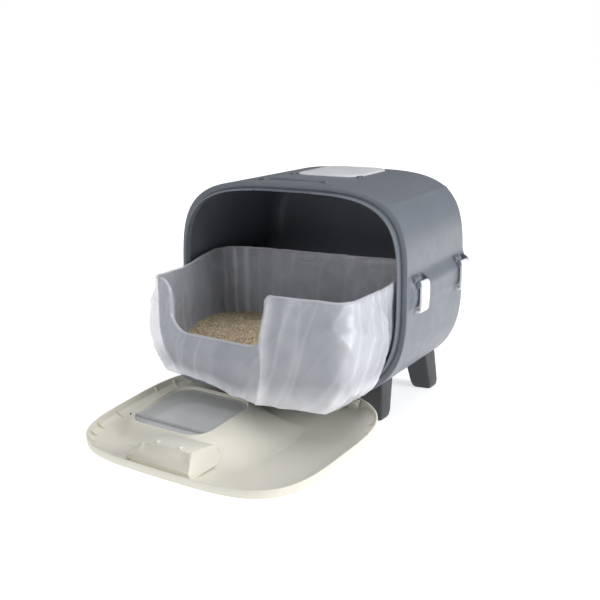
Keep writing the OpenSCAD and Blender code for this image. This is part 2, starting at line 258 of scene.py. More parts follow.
def joined(name, pieces):
    """One piece from several, in the order given."""
    verts, faces, base = [], [], 0
    for p in pieces:
        verts += [tuple(v.co) for v in p.data.vertices]
        faces += [tuple(base + i for i in f.vertices) for f in p.data.polygons]
        base = len(verts)
    for p in pieces:
        bpy.data.objects.remove(p)
    return new_piece(name, verts, faces)


def cut(piece, tool):
    """Takes the tool's volume out of the piece, and removes the tool."""
    m = piece.modifiers.new("cut", "BOOLEAN")
    m.operation, m.solver, m.object = "DIFFERENCE", "EXACT", tool
    bake(piece)
    bpy.data.objects.remove(tool)
    soften(piece)
    return piece


def prism(name, outline, z0, z1, place, smooth=35.0):
    """An upright prism over a counter-clockwise outline."""
    n = len(outline)
    points = [(x, y, z0) for x, y in outline] + [(x, y, z1) for x, y in outline]
    faces = [tuple(range(n - 1, -1, -1)), tuple(range(n, 2 * n))]
    faces += [(i, (i + 1) % n, n + (i + 1) % n, n + i) for i in range(n)]
    return new_piece(name, place(points), faces, smooth)


def block(name, lo, hi, place):
    """A box between two corners."""
    (x0, y0, z0), (x1, y1, z1) = lo, hi
    return prism(name, [(x0, y0), (x1, y0), (x1, y1), (x0, y1)], z0, z1, place)


def prism_faces(k, flip=False):
    """Faces of a prism over k corners: the near end, the far end and the sides between them."""
    faces = [tuple(range(k)), tuple(range(2 * k - 1, k - 1, -1))]
    faces += [(i, k + i, k + (i + 1) % k, (i + 1) % k) for i in range(k)]
    return [f[::-1] for f in faces] if flip else faces


def round_rect(w, d, r, steps=10, centre=(0, 0)):
    """Outline of a rounded rectangle, counter-clockwise."""
    out = []
    for k, (sx, sy) in enumerate(((1, -1), (1, 1), (-1, 1), (-1, -1))):
        for a in np.linspace(-90 + 90 * k, 90 * k, steps + 1):
            out.append((centre[0] + sx * (w / 2 - r) + r * np.cos(np.radians(a)),
                        centre[1] + sy * (d / 2 - r) + r * np.sin(np.radians(a))))
    return out


def loop_skin(name, loops, place, smooth=35.0):
    """A skin over closed loops of equal counts, with both ends capped."""
    n = len(loops[0])
    points = np.concatenate([np.asarray(r, float) for r in loops])
    faces = grid_faces(len(loops), n, closed=True)
    faces.append(tuple(range(n - 1, -1, -1)))
    faces.append(tuple(range((len(loops) - 1) * n, len(loops) * n)))
    return new_piece(name, place(points), faces, smooth)


def face_out(piece):
    """Turns a closed skin the right way if its volume came out negative."""
    bm = bmesh.new()
    bm.from_mesh(piece.data)
    if bm.calc_volume(signed=True) < 0:
        bmesh.ops.reverse_faces(bm, faces=bm.faces)
    bm.to_mesh(piece.data)
    bm.free()
    soften(piece)


def finish_piece(piece, body, slot, material, *nodes):
    """Gives a piece its material, hides the CAD nodes that it replaces and hangs it on the body that it rides
    on. The slot is not used.
    """
    piece.data.materials.clear()
    piece.data.materials.append(material)
    if nodes:
        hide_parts(*nodes)
    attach(piece, body)
    return piece


# ---------------------------------------------------------------- materials
MOULD_GRAIN = 0.9 * MM    # size of the grain on moulded faces
PLASTIC_IOR = 1.5


def add(tree, kind, inputs=None, **values):
    """Adds one node with its settings and links."""
    n = tree.nodes.new(kind)
    for key, value in values.items():
        setattr(n, key, value)
    for key, value in (inputs or {}).items():
        if isinstance(value, bpy.types.NodeSocket):
            tree.links.new(value, n.inputs[key])
        else:
            n.inputs[key].default_value = value
    return n


def start_material(name):
    """A new material with its tree, object coordinates and shader, or an older one of that name alone."""
    if name in bpy.data.materials:
        return bpy.data.materials[name], None, None, None
    m = bpy.data.materials.new(name)
    m.use_nodes = True
    tree = m.node_tree
    tree.nodes.clear()
    where = add(tree, "ShaderNodeTexCoord").outputs["Object"]
    shader = add(tree, "ShaderNodeBsdfPrincipled")
    out = add(tree, "ShaderNodeOutputMaterial")
    tree.links.new(shader.outputs[0], out.inputs[0])
    return m, tree, where, shader


def blotch(tree, where, scale, detail=3.0):
    """Soft noise from 0 to 1."""
    return add(tree, "ShaderNodeTexNoise", {"Vector": where, "Scale": scale, "Detail": detail}).outputs["Fac"]


def span(tree, fac, low, high, lo=0.3, hi=0.7):
    """A value that runs from low to high as fac runs from lo to hi."""
    return add(tree, "ShaderNodeMapRange", {"Value": fac, "From Min": lo, "From Max": hi,
                                            "To Min": low, "To Max": high}).outputs[0]


def tint(tree, fac, dark, light, lo=0.3, hi=0.7):
    """A colour that runs from dark to light as fac runs from lo to hi."""
    ramp = add(tree, "ShaderNodeValToRGB", {"Fac": fac})
    ramp.color_ramp.elements[0].position, ramp.color_ramp.elements[0].color = lo, dark
    ramp.color_ramp.elements[1].position, ramp.color_ramp.elements[1].color = hi, light
    return ramp.outputs[0]


def shade(code, factor):
    """An sRGB hex colour made lighter or darker by a factor."""
    c = linear(code)
    return (*(min(1.0, x * factor) for x in c[:3]), 1.0)


def moulded(name, code, rough, spread=0.05, depth=0.06):
    """Injection-moulded plastic: an even colour with a faint flow mottle, and a fine moulded grain that
    breaks up the gloss. Spread is the mottle's share of the colour, and depth the strength of the grain."""
    m, tree, where, shader = start_material(name)
    if tree is None:
        return m
    flow = blotch(tree, where, 9.0)
    colour = tint(tree, flow, shade(code, 1 - spread), shade(code, 1 + spread))
    tree.links.new(colour, shader.inputs["Base Color"])
    scuff = blotch(tree, where, 38.0, 5.0)
    tree.links.new(span(tree, scuff, rough - 0.05, rough + 0.06), shader.inputs["Roughness"])
    fine = add(tree, "ShaderNodeTexVoronoi", {"Vector": where, "Scale": 1 / MOULD_GRAIN}).outputs["Distance"]
    wavy = blotch(tree, where, 26.0, 2.0)
    mixed = add(tree, "ShaderNodeMath", {0: wavy, 1: fine}, operation="ADD").outputs[0]
    bump = add(tree, "ShaderNodeBump", {"Height": mixed, "Strength": depth, "Distance": 0.0006})
    tree.links.new(bump.outputs[0], shader.inputs["Normal"])
    shader.inputs["IOR"].default_value = PLASTIC_IOR
    return m


def shell_plastic():
    # moulded polypropylene, semi-gloss: broad soft reflections with a fine sparkle-free grain
    return moulded("polypropylene blue grey", settings()[3].shell, 0.36, depth=0.1)


def leg_plastic():
    # moulded polypropylene, satin charcoal: dark faces that still catch a grey edge light
    return moulded("polypropylene charcoal", settings()[3].leg, 0.46)


def door_plastic():
    # moulded polypropylene, cream: soft sheen, a little warmth in its hollows
    return moulded("polypropylene cream", settings()[3].door, 0.34, spread=0.03, depth=0.05)


def tray_plastic():
    # moulded polypropylene, satin grey, mostly seen through the film
    return moulded("polypropylene tray grey", settings()[3].tray, 0.42)


def clip_plastic():
    # moulded ABS, glossy white: crisp bright faces
    return moulded("abs gloss white", "#e3e7ee", 0.2, spread=0.02, depth=0.02)


def pin_plastic():
    # moulded acetal, dark grey and slightly waxy
    return moulded("acetal dark grey", "#56585b", 0.4, spread=0.06)


def guide_plastic():
    # moulded polypropylene, warm grey
    return moulded("polypropylene guide grey", "#9b9c98", 0.4, spread=0.04)


def rubber():
    # moulded rubber: matt and nearly black
    return moulded("rubber foot black", "#1d1d1e", 0.75, spread=0.1, depth=0.2)


def steel():
    """Zinc-plated steel: cool metal with a drawn streak that stretches its highlights."""
    m, tree, where, shader = start_material("zinc plated steel")
    if tree is None:
        return m
    turned = add(tree, "ShaderNodeMapping", {"Vector": where, "Scale": (1.0, 14.0, 1.0)}).outputs[0]
    streak = blotch(tree, turned, 240.0)
    tree.links.new(tint(tree, streak, linear("#a5a8ab"), linear("#c7cacc")), shader.inputs["Base Color"])
    tree.links.new(span(tree, streak, 0.24, 0.42), shader.inputs["Roughness"])
    shader.inputs["Metallic"].default_value = 1.0
    return m


def foam():
    """Open-cell filter foam: charcoal with 3 mm cells, fully matt."""
    m, tree, where, shader = start_material("filter foam charcoal")
    if tree is None:
        return m
    cells = add(tree, "ShaderNodeTexVoronoi", {"Vector": where, "Scale": 330.0}).outputs["Distance"]
    colour = tint(tree, cells, linear("#101012"), linear("#3a3b3e"), 0.1, 0.7)
    tree.links.new(colour, shader.inputs["Base Color"])
    bump = add(tree, "ShaderNodeBump", {"Height": cells, "Strength": 0.6, "Distance": 0.001})
    tree.links.new(bump.outputs[0], shader.inputs["Normal"])
    shader.inputs["Roughness"].default_value = 0.95
    return m


def milky_plastic():
    """Milky polypropylene of the filter cover: white, a little see-through, with a satin top."""
    m, tree, where, shader = start_material("polypropylene milky")
    if tree is None:
        return m
    cloud = blotch(tree, where, 14.0)
    tree.links.new(tint(tree, cloud, linear("#dde0e4"), linear("#eceef0")), shader.inputs["Base Color"])
    tree.links.new(span(tree, blotch(tree, where, 40.0), 0.28, 0.38), shader.inputs["Roughness"])
    shader.inputs["Alpha"].default_value = 0.95
    return m


def smoked_clear():
    """Smoke-tinted SAN sheet of the flap: grey glass-like plastic with a polished face."""
    m, tree, where, shader = start_material("san smoke grey")
    if tree is None:
        return m
    cloud = blotch(tree, where, 7.0)
    tree.links.new(tint(tree, cloud, linear("#b8babc"), linear("#c6c8ca")), shader.inputs["Base Color"])
    tree.links.new(span(tree, blotch(tree, where, 30.0), 0.09, 0.15), shader.inputs["Roughness"])
    shader.inputs["Alpha"].default_value = 0.66
    shader.inputs["IOR"].default_value = 1.56
    return m


def film():
    """Blown polyethylene film: thin, milky and glossy. It hazes along its folds and towards its hem, and a
    painted highlight whitens the folds in the tray's inner rear corner.
    """
    m, tree, where, shader = start_material("polyethylene film")
    if tree is None:
        return m
    # the haze attribute also carries a painted highlight: extra opacity of the white film along the folds of
    # the inner rear corner
    haze = add(tree, "ShaderNodeAttribute", attribute_name="haze").outputs["Fac"]
    cloud = blotch(tree, where, 7.0, 2.0)
    tree.links.new(tint(tree, cloud, linear("#dfe1ea"), linear("#f0f0f6")), shader.inputs["Base Color"])
    tree.links.new(span(tree, cloud, 0.13, 0.22), shader.inputs["Roughness"])
    base = span(tree, blotch(tree, where, 11.0, 2.0), 0.27, 0.36)
    total = add(tree, "ShaderNodeMath", {0: base, 1: haze}, operation="ADD", use_clamp=True).outputs[0]
    tree.links.new(total, shader.inputs["Alpha"])
    fine = blotch(tree, where, 34.0, 3.0)
    bump = add(tree, "ShaderNodeBump", {"Height": fine, "Strength": 0.12, "Distance": 0.003})
    tree.links.new(bump.outputs[0], shader.inputs["Normal"])
    shader.inputs["IOR"].default_value = 1.51
    return m


def granules():
    """Pressed wood granules: beige, with darker and nearly white ones among them."""
    m, tree, where, shader = start_material("wood granules")
    if tree is None:
        return m
    code = settings()[3].litter
    each = add(tree, "ShaderNodeTexVoronoi", {"Vector": where, "Scale": 260.0}).outputs["Color"]
    grey = add(tree, "ShaderNodeSeparateColor", {"Color": each}).outputs[0]
    ramp = add(tree, "ShaderNodeValToRGB", {"Fac": grey})
    ramp.color_ramp.elements[0].color = shade(code, 0.5)
    ramp.color_ramp.elements[1].color = shade(code, 1.5)
    middle = ramp.color_ramp.elements.new(0.35)
    middle.color = shade(code, 0.95)
    high = ramp.color_ramp.elements.new(0.85)
    high.color = shade(code, 1.08)
    tree.links.new(ramp.outputs[0], shader.inputs["Base Color"])
    rough = blotch(tree, where, 420.0)
    bump = add(tree, "ShaderNodeBump", {"Height": rough, "Strength": 0.7, "Distance": 0.0012})
    tree.links.new(bump.outputs[0], shader.inputs["Normal"])
    shader.inputs["Roughness"].default_value = 0.92
    return m


# ---------------------------------------------------------------- shells
SIDE_LEVELS = [0, 3, 6, 9, 11, 13, 15, 18, 22, 27, 32, 38, 44, 50, 56]               # up the hood's ledge
LOW_LEVELS = [-10.0, -13, -16, -18, -20, -22, -24, -27, -30, -34, -39, -45]          # down the base's ledge
ARCH_STEPS = 150
CREASE_AT = 0.808         # place of the shoulder's crease round the arch, in radians


def hood_line(a, h, out=0.0, crease=0.0):
    """The hood's outline from its right parting edge over the top to its left one, as (x, z)."""
    right = []
    for z in [SPLIT + GAP] + SIDE_LEVELS:
        flare = 1 - float(ease(z, 8, 48))
        right.append((side_at(a, h, N_TOP, max(0.0, z)) + out * flare, z))
    t = np.radians(np.linspace(7.5, 172.5, ARCH_STEPS))
    arch = np.stack([a * power(np.cos(t), 2 / N_TOP), h * power(np.sin(t), 2 / N_TOP)], 1)
    if crease:
        for t0 in (CREASE_AT, np.pi - CREASE_AT):
            mid = np.array([a * power(np.cos(t0), 2 / N_TOP), h * power(np.sin(t0), 2 / N_TOP)])
            away = mid / np.linalg.norm(mid)
            dist = np.linalg.norm(arch - mid, axis=1)
            peak = 0.5 * np.exp(-dist / 15.0) + 0.5 * np.exp(-(dist / 4.5) ** 2)
            arch = arch + away * (crease * peak)[:, None]
    line = right + [tuple(p) for p in arch] + [(-x, z) for x, z in reversed(right)]
    return np.array(line)


def base_line(a, h, out=0.0):
    """The base's outline from its left parting edge under the bottom to its right one, as (x, z)."""
    left = []
    for z in LOW_LEVELS:
        flare = 1 - float(ease(-z, 19, 33))
        left.append((-side_at(a, h, N_LOW, z) - out * flare, z))
    t = np.radians(np.linspace(187.5, 352.5, ARCH_STEPS))
    arch = [(a * power(np.cos(q), 2 / N_LOW), h * power(np.sin(q), 2 / N_LOW)) for q in t]
    return np.array(left + arch + [(-x, z) for x, z in reversed(left)])


# The rounded back, as (distance past the straight walls, how far it draws in)
BACK = [(0, 0), (8, 1), (16, 4), (22, 8.5), (26, 13), (29, 19), (31, 28)]


def shell_rows(line, half, height, depth, ledge, crease):
    """Rings of a shell from its inner back wall round the front rim to its outer back wall."""
    def ring(y, inset, out=0.0, rise=0.0):
        scale = 1 - (1 - BACK_SCALE) * min(depth, max(0.0, y)) / depth
        more = (rise,) if rise else ()
        xz = line(half * scale - inset, height - inset, out, *more)
        return np.column_stack([xz[:, 0], np.full(len(xz), y), xz[:, 1]])

    def out_at(y):
        return ledge * float(ease(y, 7, 22))

    rows = [ring(depth + e - WALL, WALL + i, ledge) for e, i in reversed(BACK[1:])]
    rows += [ring(y, WALL, out_at(y)) for y in (depth, 200, 60, 24, 16, 11, 7, WALL)]
    # neck: inside face, rounded lip, outside face, then the flange with its groove
    inner, outer = RIM_W, RIM_W - NECK_T
    lip = [(WALL, inner), (-NECK + 1.2, inner), (-NECK + 0.3, inner - 0.4), (-NECK, inner - 1.2),
           (-NECK, outer + 1.2), (-NECK + 0.3, outer + 0.4), (-NECK + 1.2, outer), (1.2, outer),
           (1.6, outer - 0.5), (1.6, outer - 2.6), (0.9, outer - 3.1), (0.0, outer - 3.4),
           (0.0, 1.8), (0.5, 0.5), (1.8, 0.0)]
    rows += [ring(y, inset) for y, inset in lip]
    rows += [ring(y, 0.0, out_at(y), crease * float(ease(y, 12, 34)))
             for y in (4, 7, 9, 11, 13, 15, 17, 19, 22, 26, 34)]
    rows += [ring(y, 0.0, ledge, crease) for y in np.linspace(48, depth - 16, 12)]
    rows += [ring(depth + e, i, ledge, crease * float(1 - ease(e, 4, 28))) for e, i in BACK]
    return rows


def shell_piece(name, rows):
    """A closed shell: the skin between the parting edges, both back walls and the parting face."""
    n, m = len(rows[0]), len(rows)
    points = np.concatenate(rows)
    faces = grid_faces(m, n)
    faces.append(tuple(range(n - 1, -1, -1)))
    faces.append(tuple((m - 1) * n + i for i in range(n)))
    right = [k * n for k in range(m)]
    left = [k * n + n - 1 for k in range(m)]
    faces.append(tuple(right + left[::-1]))
    return new_piece(name, in_box(points), faces, 32)


def base_rows(shell):
    """Rings of the base shell; its ledge is a little narrower than the hood's."""
    return shell_rows(base_line, shell.half_width, shell.bottom, shell.depth, shell.ledge * BASE_LEDGE, 0.0)


FILTER_W, FILTER_D, FILTER_R = 150, 190, 40
FILTER_AT = (0, 245)


def filter_outline(inset=0):
    """Outline of the filter opening, drawn in by an inset."""
    return round_rect(FILTER_W - 2 * inset, FILTER_D - 2 * inset, max(6.0, FILTER_R - inset), 14, FILTER_AT)


class LITTERBOX_OT_hood(bpy.types.Operator):
    """Draw the hood with its rim, ledges, latch slot and filter opening"""
    bl_idname = "litterbox.add_hood"
    bl_label = "Add hood"

    def execute(self, context):
        shell = settings()[0]
        rows = shell_rows(hood_line, shell.half_width, shell.top, shell.depth, shell.ledge, shell.crease)
        hood = shell_piece("hood", rows)
        top = shell.top
        cut(hood, prism("slot", round_rect(132, 9, 4, 5, (LATCH_X, 56.5)), top - 12, top + 8, in_box))
        cut(hood, prism("opening", filter_outline(), top - 20, top + 20, in_box))
        neck_top = top - RIM_W - NECK_T
        notch = [(LATCH_X - 70, top - 14), (LATCH_X - 64, neck_top), (LATCH_X + 64, neck_top),
                 (LATCH_X + 70, top - 14)]
        points = [(x, y, z) for y in (-NECK - 4, -NECK + 7) for x, z in notch]
        cut(hood, new_piece("notch", in_box(points), prism_faces(len(notch))))
        extras = self.latch_strip(top)
        finish_piece(hood, "hood", "shell_plastic", shell_plastic(), "hood_shell")
        trim = joined("hood_latch_strip", extras)
        finish_piece(trim, "hood", "shell_plastic", shell_plastic())
        return {"FINISHED"}

    def latch_strip(self, top):
        """Raised strips before and behind the slot for the door's latch, with a boss at each end."""
        def strip(name, half, y0, y1, rise):
            lo, hi = (LATCH_X - half, y0, top - 4), (LATCH_X + half, y1, top + rise)
            return bevelled(block(name, lo, hi, in_box), 0.8)

        def stud(name, x, w, d, r, steps, low, high, edge):
            outline = round_rect(w, d, r, steps, (x, 44))
            return bevelled(prism(name, outline, top + low, top + high, in_box), edge)

        extras = [strip("strip", 62, 62.2, 66, 1.2)]
        for x in (LATCH_X - 72, LATCH_X + 72):
            extras.append(stud("boss", x, 17, 15, 5, 5, -5, 2.6, 1.2))
            extras.append(stud("stud", x, 6, 6, 2.8, 4, 2, 4.2, 0.7))
        extras.append(strip("front strip", 60, 47.5, 51.2, 1.6))
        return extras


class LITTERBOX_OT_base(bpy.types.Operator):
    """Draw the base shell"""
    bl_idname = "litterbox.add_base"
    bl_label = "Add base"

    def execute(self, context):
        base = shell_piece("base", base_rows(settings()[0]))
        finish_piece(base, "base", "shell_plastic", shell_plastic(), "base_shell")
        return {"FINISHED"}


# ---------------------------------------------------------------- legs, clips, filter
LEG_X = 163.0
LEG_Y = (75.0, 347.0)
LEG_LEAN = (14, -24)      # how far the front and rear legs lean inwards on their way up
OUTER_RINGS = 23          # the rings of a shell's outer face, the last ones of its rows


class LITTERBOX_OT_legs(bpy.types.Operator):
    """Draw the four legs with their edges rounded"""
    bl_idname = "litterbox.add_legs"
    bl_label = "Add legs"

    def execute(self, context):
        shell = settings()[0]
        for side, sx in (("left", -1), ("right", 1)):
            for place, foot_y, lean in zip(("front", "rear"), LEG_Y, LEG_LEAN):
                loops = []
                for f in np.linspace(0, 1, 9):
                    z = -MID_Z + 2 + f * (MID_Z - 2 - shell.bottom + 41)
                    w, d = 46 + 10 * f, 48 + 12 * f
                    pull = 2.0 if f == 0 else 0.0                 # the foot's lower edge draws in
                    outline = round_rect(w - 2 * pull, d - 2 * pull, 5, 5,
                                         (sx * (LEG_X - 8 * f), foot_y + lean * f))
                    loops.append([(x, y, z) for x, y in outline])
                leg = loop_skin(f"leg_{place}_{side}", loops, in_box)
                bevelled(leg, 1.2, 2, 50)
                rows = base_rows(shell)[-OUTER_RINGS:]
                n = len(rows[0])
                faces = grid_faces(len(rows), n, closed=True)
                faces += [tuple(range(n - 1, -1, -1)), tuple((len(rows) - 1) * n + i for i in range(n))]
                cut(leg, new_piece("under", in_box(np.concatenate(rows)), faces))
                finish_piece(leg, "base", "leg_plastic", leg_plastic(), f"leg_{place}_{side}")
        return {"FINISHED"}


CLIP_Y = (54.0, 309.0)
CLIP_W = 40.0
CLIP_STAND = 3.5          # how far the clip's pin stands off the ledge
CHEEK_GAP = 3.2           # from the clip's side to the middle of a lug's cheek
CHEEK_T = 4.6

# A clip's profile from its rounded top down its face to the hook under the base's ledge and back up inside,
# as (distance out from the pin, height above the middle level)
CLIP_SIDE = [(-3.6, 27.0), (-1.2, 28.6), (2.2, 28.2), (5.4, 24.6), (6.4, 19.5), (6.6, 4.0), (6.2, -14.0),
             (4.7, -30.0), (2.4, -35.0), (-1.0, -36.4), (-8.4, -36.2), (-8.6, -31.4), (-5.0, -30.4),
             (0.8, -29.6), (1.0, 17.0), (-2.4, 19.0), (-4.6, 22.6)]


def wall_at(y, shell):
    """Half width of the shells at a distance behind the flange."""
    return shell.half_width * (1 - (1 - BACK_SCALE) * y / shell.depth)


def on_side(name, profile, y0, y1, sx):
    """A solid between two distances behind the flange, over a profile of (x, z) on the side that sx names."""
    points = [(sx * x, y, z) for y in (y0, y1) for x, z in profile]
    return new_piece(name, in_box(points), prism_faces(len(profile), flip=sx < 0))


class LITTERBOX_OT_clips(bpy.types.Operator):
    """Draw the four side clips and the lugs that carry them"""
    bl_idname = "litterbox.add_clips"
    bl_label = "Add clips"

    def execute(self, context):
        shell = settings()[0]
        lugs = []
        for place, y in zip(("front", "rear"), CLIP_Y):
            for side, sx in (("left", -1), ("right", 1)):
                wall_x = wall_at(y, shell)
                pin_x = wall_x + shell.ledge + CLIP_STAND
                outline = [(pin_x + dx, z) for dx, z in CLIP_SIDE]
                clip = on_side(f"clip_{place}_{side}", outline, y - CLIP_W / 2, y + CLIP_W / 2, sx)
                bevelled(clip, 0.9, 3, 28)
                body = "clip_" + place[0] + side[0]
                finish_piece(clip, body, "clip_white", clip_plastic(), f"clip_{place}_{side}")
                outline = [(wall_x + 2, 38), (pin_x - 1, 33), (pin_x + 3.5, 27), (pin_x + 4.6, 20),
                           (pin_x - 1, 14), (wall_x + 2, 14)]
                for e in (-1, 1):
                    mid = y + e * (CLIP_W / 2 + CHEEK_GAP)
                    cheek = on_side("cheek", outline, mid - CHEEK_T / 2, mid + CHEEK_T / 2, sx)
                    lugs.append(bevelled(cheek, 0.7, 2))
                # the block in front of the clip's upper corner
                corner = [(wall_x + 1.5, 40.5), (pin_x - 3.5, 37.5), (pin_x - 1.5, 32.0), (pin_x - 6, 24),
                          (wall_x + 1.5, 24)]
                lugs.append(bevelled(on_side("block", corner, y - 33, y - 6, sx), 1.4, 3))
        lug = joined("clip_lug_blocks", lugs)
        finish_piece(lug, "hood", "shell_plastic", shell_plastic(), "clip_lugs")
        return {"FINISHED"}


class LITTERBOX_OT_filter(bpy.types.Operator):
    """Draw the filter cover over its pad and grille"""
    bl_idname = "litterbox.add_filter"
    bl_label = "Add filter cover"

    def execute(self, context):
        top = settings()[0].top
        under = [(8.0, -0.4), (8, -0.6), (5, -1.0), (5, -4.6)]
        over = [(2.6, -4.6), (1.2, -4.2), (1.0, 0.6), (1.6, 1.6), (3.0, 2.2), (8, 2.9), (20, 3.6), (36, 4.0)]
        loops = []
        for inset, z in under + over:
            loops.append([(x, y, top + z) for x, y in filter_outline(inset)])
        cover = loop_skin("filter_lid", loops, in_box)
        finish_piece(cover, "filter_lid", "cover_clear", milky_plastic(), "filter_cover")
        extras = []
        for x in (-78.5, 78.5):
            ear = prism("ear", round_rect(9, 20, 3.5, 5, (x, 166)), top - 3.0, top + 2.4, in_box)
            extras.append(bevelled(ear, 0.9))
        ears = joined("filter_lid_keepers", extras)
        finish_piece(ears, "hood", "shell_plastic", shell_plastic())
        return {"FINISHED"}


# ---------------------------------------------------------------- tray, liner, litter
TRAY_D = 366.0
TRAY_HALF = 232.0
STEP_X, STEP_Y = 72.0, 56.0           # where the front steps back, and how far
ENTRY = (-182.0, 59.0)                # the low entry's ends across the tray
ENTRY_R = 44.0
FRONT_R, REAR_R = 34.0, 60.0
FILM_LOW = 138.0                      # where the film's inner side ends, under the litter
LITTER_LOW = 118.0


def arc(cx, cy, r, a0, a1, steps):
    """Points of an arc from angle a0 to a1, in degrees."""
    turns = np.radians(np.linspace(a0, a1, steps))
    return [(cx + r * np.cos(q), cy + r * np.sin(q)) for q in turns]


def tray_plan(spacing, extra=()):
    """Points round the tray's rim, clockwise from above, with outward normals and distances along it."""
    w, d, r, rear = TRAY_HALF, TRAY_D, FRONT_R, REAR_R
    lean = np.degrees(np.arctan(STEP_Y / (w + STEP_X)))
    line = (arc(w - r, r, r, 0, -90, 12) + [(STEP_X + 9, 0), (STEP_X + 4, 1), (STEP_X, 3)]
            + arc(-w + r, r + STEP_Y, r, -90 - lean, -180, 12)
            + arc(-w + rear, d - rear, rear, 180, 90, 14) + arc(w - rear, d - rear, rear, 90, 0, 14))
    p = np.array(line + [line[0]])
    s = np.concatenate([[0], np.cumsum(np.linalg.norm(np.diff(p, axis=0), axis=1))])
    total = s[-1]
    at = np.linspace(0, total, int(total / spacing), endpoint=False)
    at = np.unique(np.concatenate([at, np.array(extra, float) % total])) if len(extra) else at
    x, y = np.interp(at, s, p[:, 0]), np.interp(at, s, p[:, 1])
    # normals are averaged over a few millimetres, so that a fold turns a corner softly
    e = 5.0

    def at_s(q):
        q = np.mod(q, total)
        return np.column_stack([np.interp(q, s, p[:, 0]), np.interp(q, s, p[:, 1])])

    t = at_s(at + e) - at_s(at - e)
    t /= np.linalg.norm(t, axis=1)[:, None]
    normal = np.column_stack([-t[:, 1], t[:, 0]])
    return np.column_stack([x, y]), normal, at, total


def tray_w(z):
    """Half width of the tray at a height above the floor."""
    shell = settings()[0]
    room = side_at(shell.half_width - RIM_W, shell.bottom - RIM_W, N_LOW, np.minimum(0, z - MID_Z)) - 8
    return np.minimum(TRAY_HALF + 2 * ease(z, 250, 300), room)


def rim_height(x, y, rim, lip):
    """Height of the tray's rim round its plan: low at the entry, with rounded corners."""
    left, right = ENTRY
    d_left, d_right = x - left, right - x
    inside = np.minimum(d_left, d_right)
    bowl = lip + ENTRY_R - np.sqrt(np.maximum(0, ENTRY_R ** 2 - np.maximum(0, ENTRY_R - inside) ** 2))
    shoulder = np.where(x > right, 12.0, 30.0)
    beyond = np.clip(-inside, 0, shoulder)
    high = rim - shoulder + np.sqrt(np.maximum(0, shoulder ** 2 - (shoulder - beyond) ** 2))
    h = np.where(inside > 0, np.minimum(bowl, rim), high)
    front = (y < 112) & (x < right + 40)
    return np.where(front, h, rim)


def entry_marks():
    """Distances along the rim where the entry's upright edges stand."""
    p, _, at, _ = tray_plan(0.5)
    front = p[:, 1] < 110
    marks = []
    for x0 in ENTRY:
        k = np.argmin(np.where(front, np.abs(p[:, 0] - x0), 1e9))
        marks += [at[k] + d for d in (-6, -4.4, -3, -2, -1.2, -0.6, -0.2, 0.2, 0.6, 1.2, 2, 3, 4.4, 6)]
    return marks


def tray_rows(plan, normal, profile):
    """Rows of points from (offset, height, half width) at each point of the plan."""
    rows = []
    for offset, z, width in profile:
        scale = width / TRAY_HALF
        x = plan[:, 0] * scale + normal[:, 0] * offset
        y = plan[:, 1] + normal[:, 1] * offset
        rows.append(np.column_stack([x, y + TRAY_Y, z]))
    return rows


class LITTERBOX_OT_tray(bpy.types.Operator):
    """Draw the tray with its low entry"""
    bl_idname = "litterbox.add_tray"
    bl_label = "Add tray"

    def execute(self, context):
        opts = settings()[1]
        plan, normal, _, _ = tray_plan(4.0, entry_marks())
        top = rim_height(plan[:, 0], plan[:, 1], opts.rim, opts.lip)
        ones = np.ones(len(plan))
        profile = []
        for inset, z in ((40, 0), (13, 0), (6, 1.5), (2, 5.5), (0, 12)):
            profile.append((-inset * ones, (TRAY_BOTTOM + z) * ones, tray_w(TRAY_BOTTOM + z)))
        for f in np.linspace(0.06, 1, 10):
            z = TRAY_BOTTOM + 12 + (top - 1.2 - TRAY_BOTTOM - 12) * f
            profile.append((0 * ones, z, tray_w(z)))
        for off, dz in ((-0.6, -0.3), (-1.5, 0.0), (-2.4, -0.3)):
            profile.append((off * ones, top + dz, tray_w(top)))
        for f in np.linspace(1, 0.06, 8):
            z = TRAY_BOTTOM + 12 + (top - 1.2 - TRAY_BOTTOM - 12) * f
            profile.append((-3 * ones, z, tray_w(z)))
        for inset, z in ((3, 12), (5, 7), (9, 4), (16, 3), (42, 3)):
            profile.append((-inset * ones, (TRAY_BOTTOM + z) * ones, tray_w(TRAY_BOTTOM + z)))
        rows = tray_rows(plan, normal, profile)
        tray = loop_skin("tray_tub", rows, on_floor)
        face_out(tray)
        finish_piece(tray, "tray", "tray_plastic", tray_plastic(), "tray")
        return {"FINISHED"}


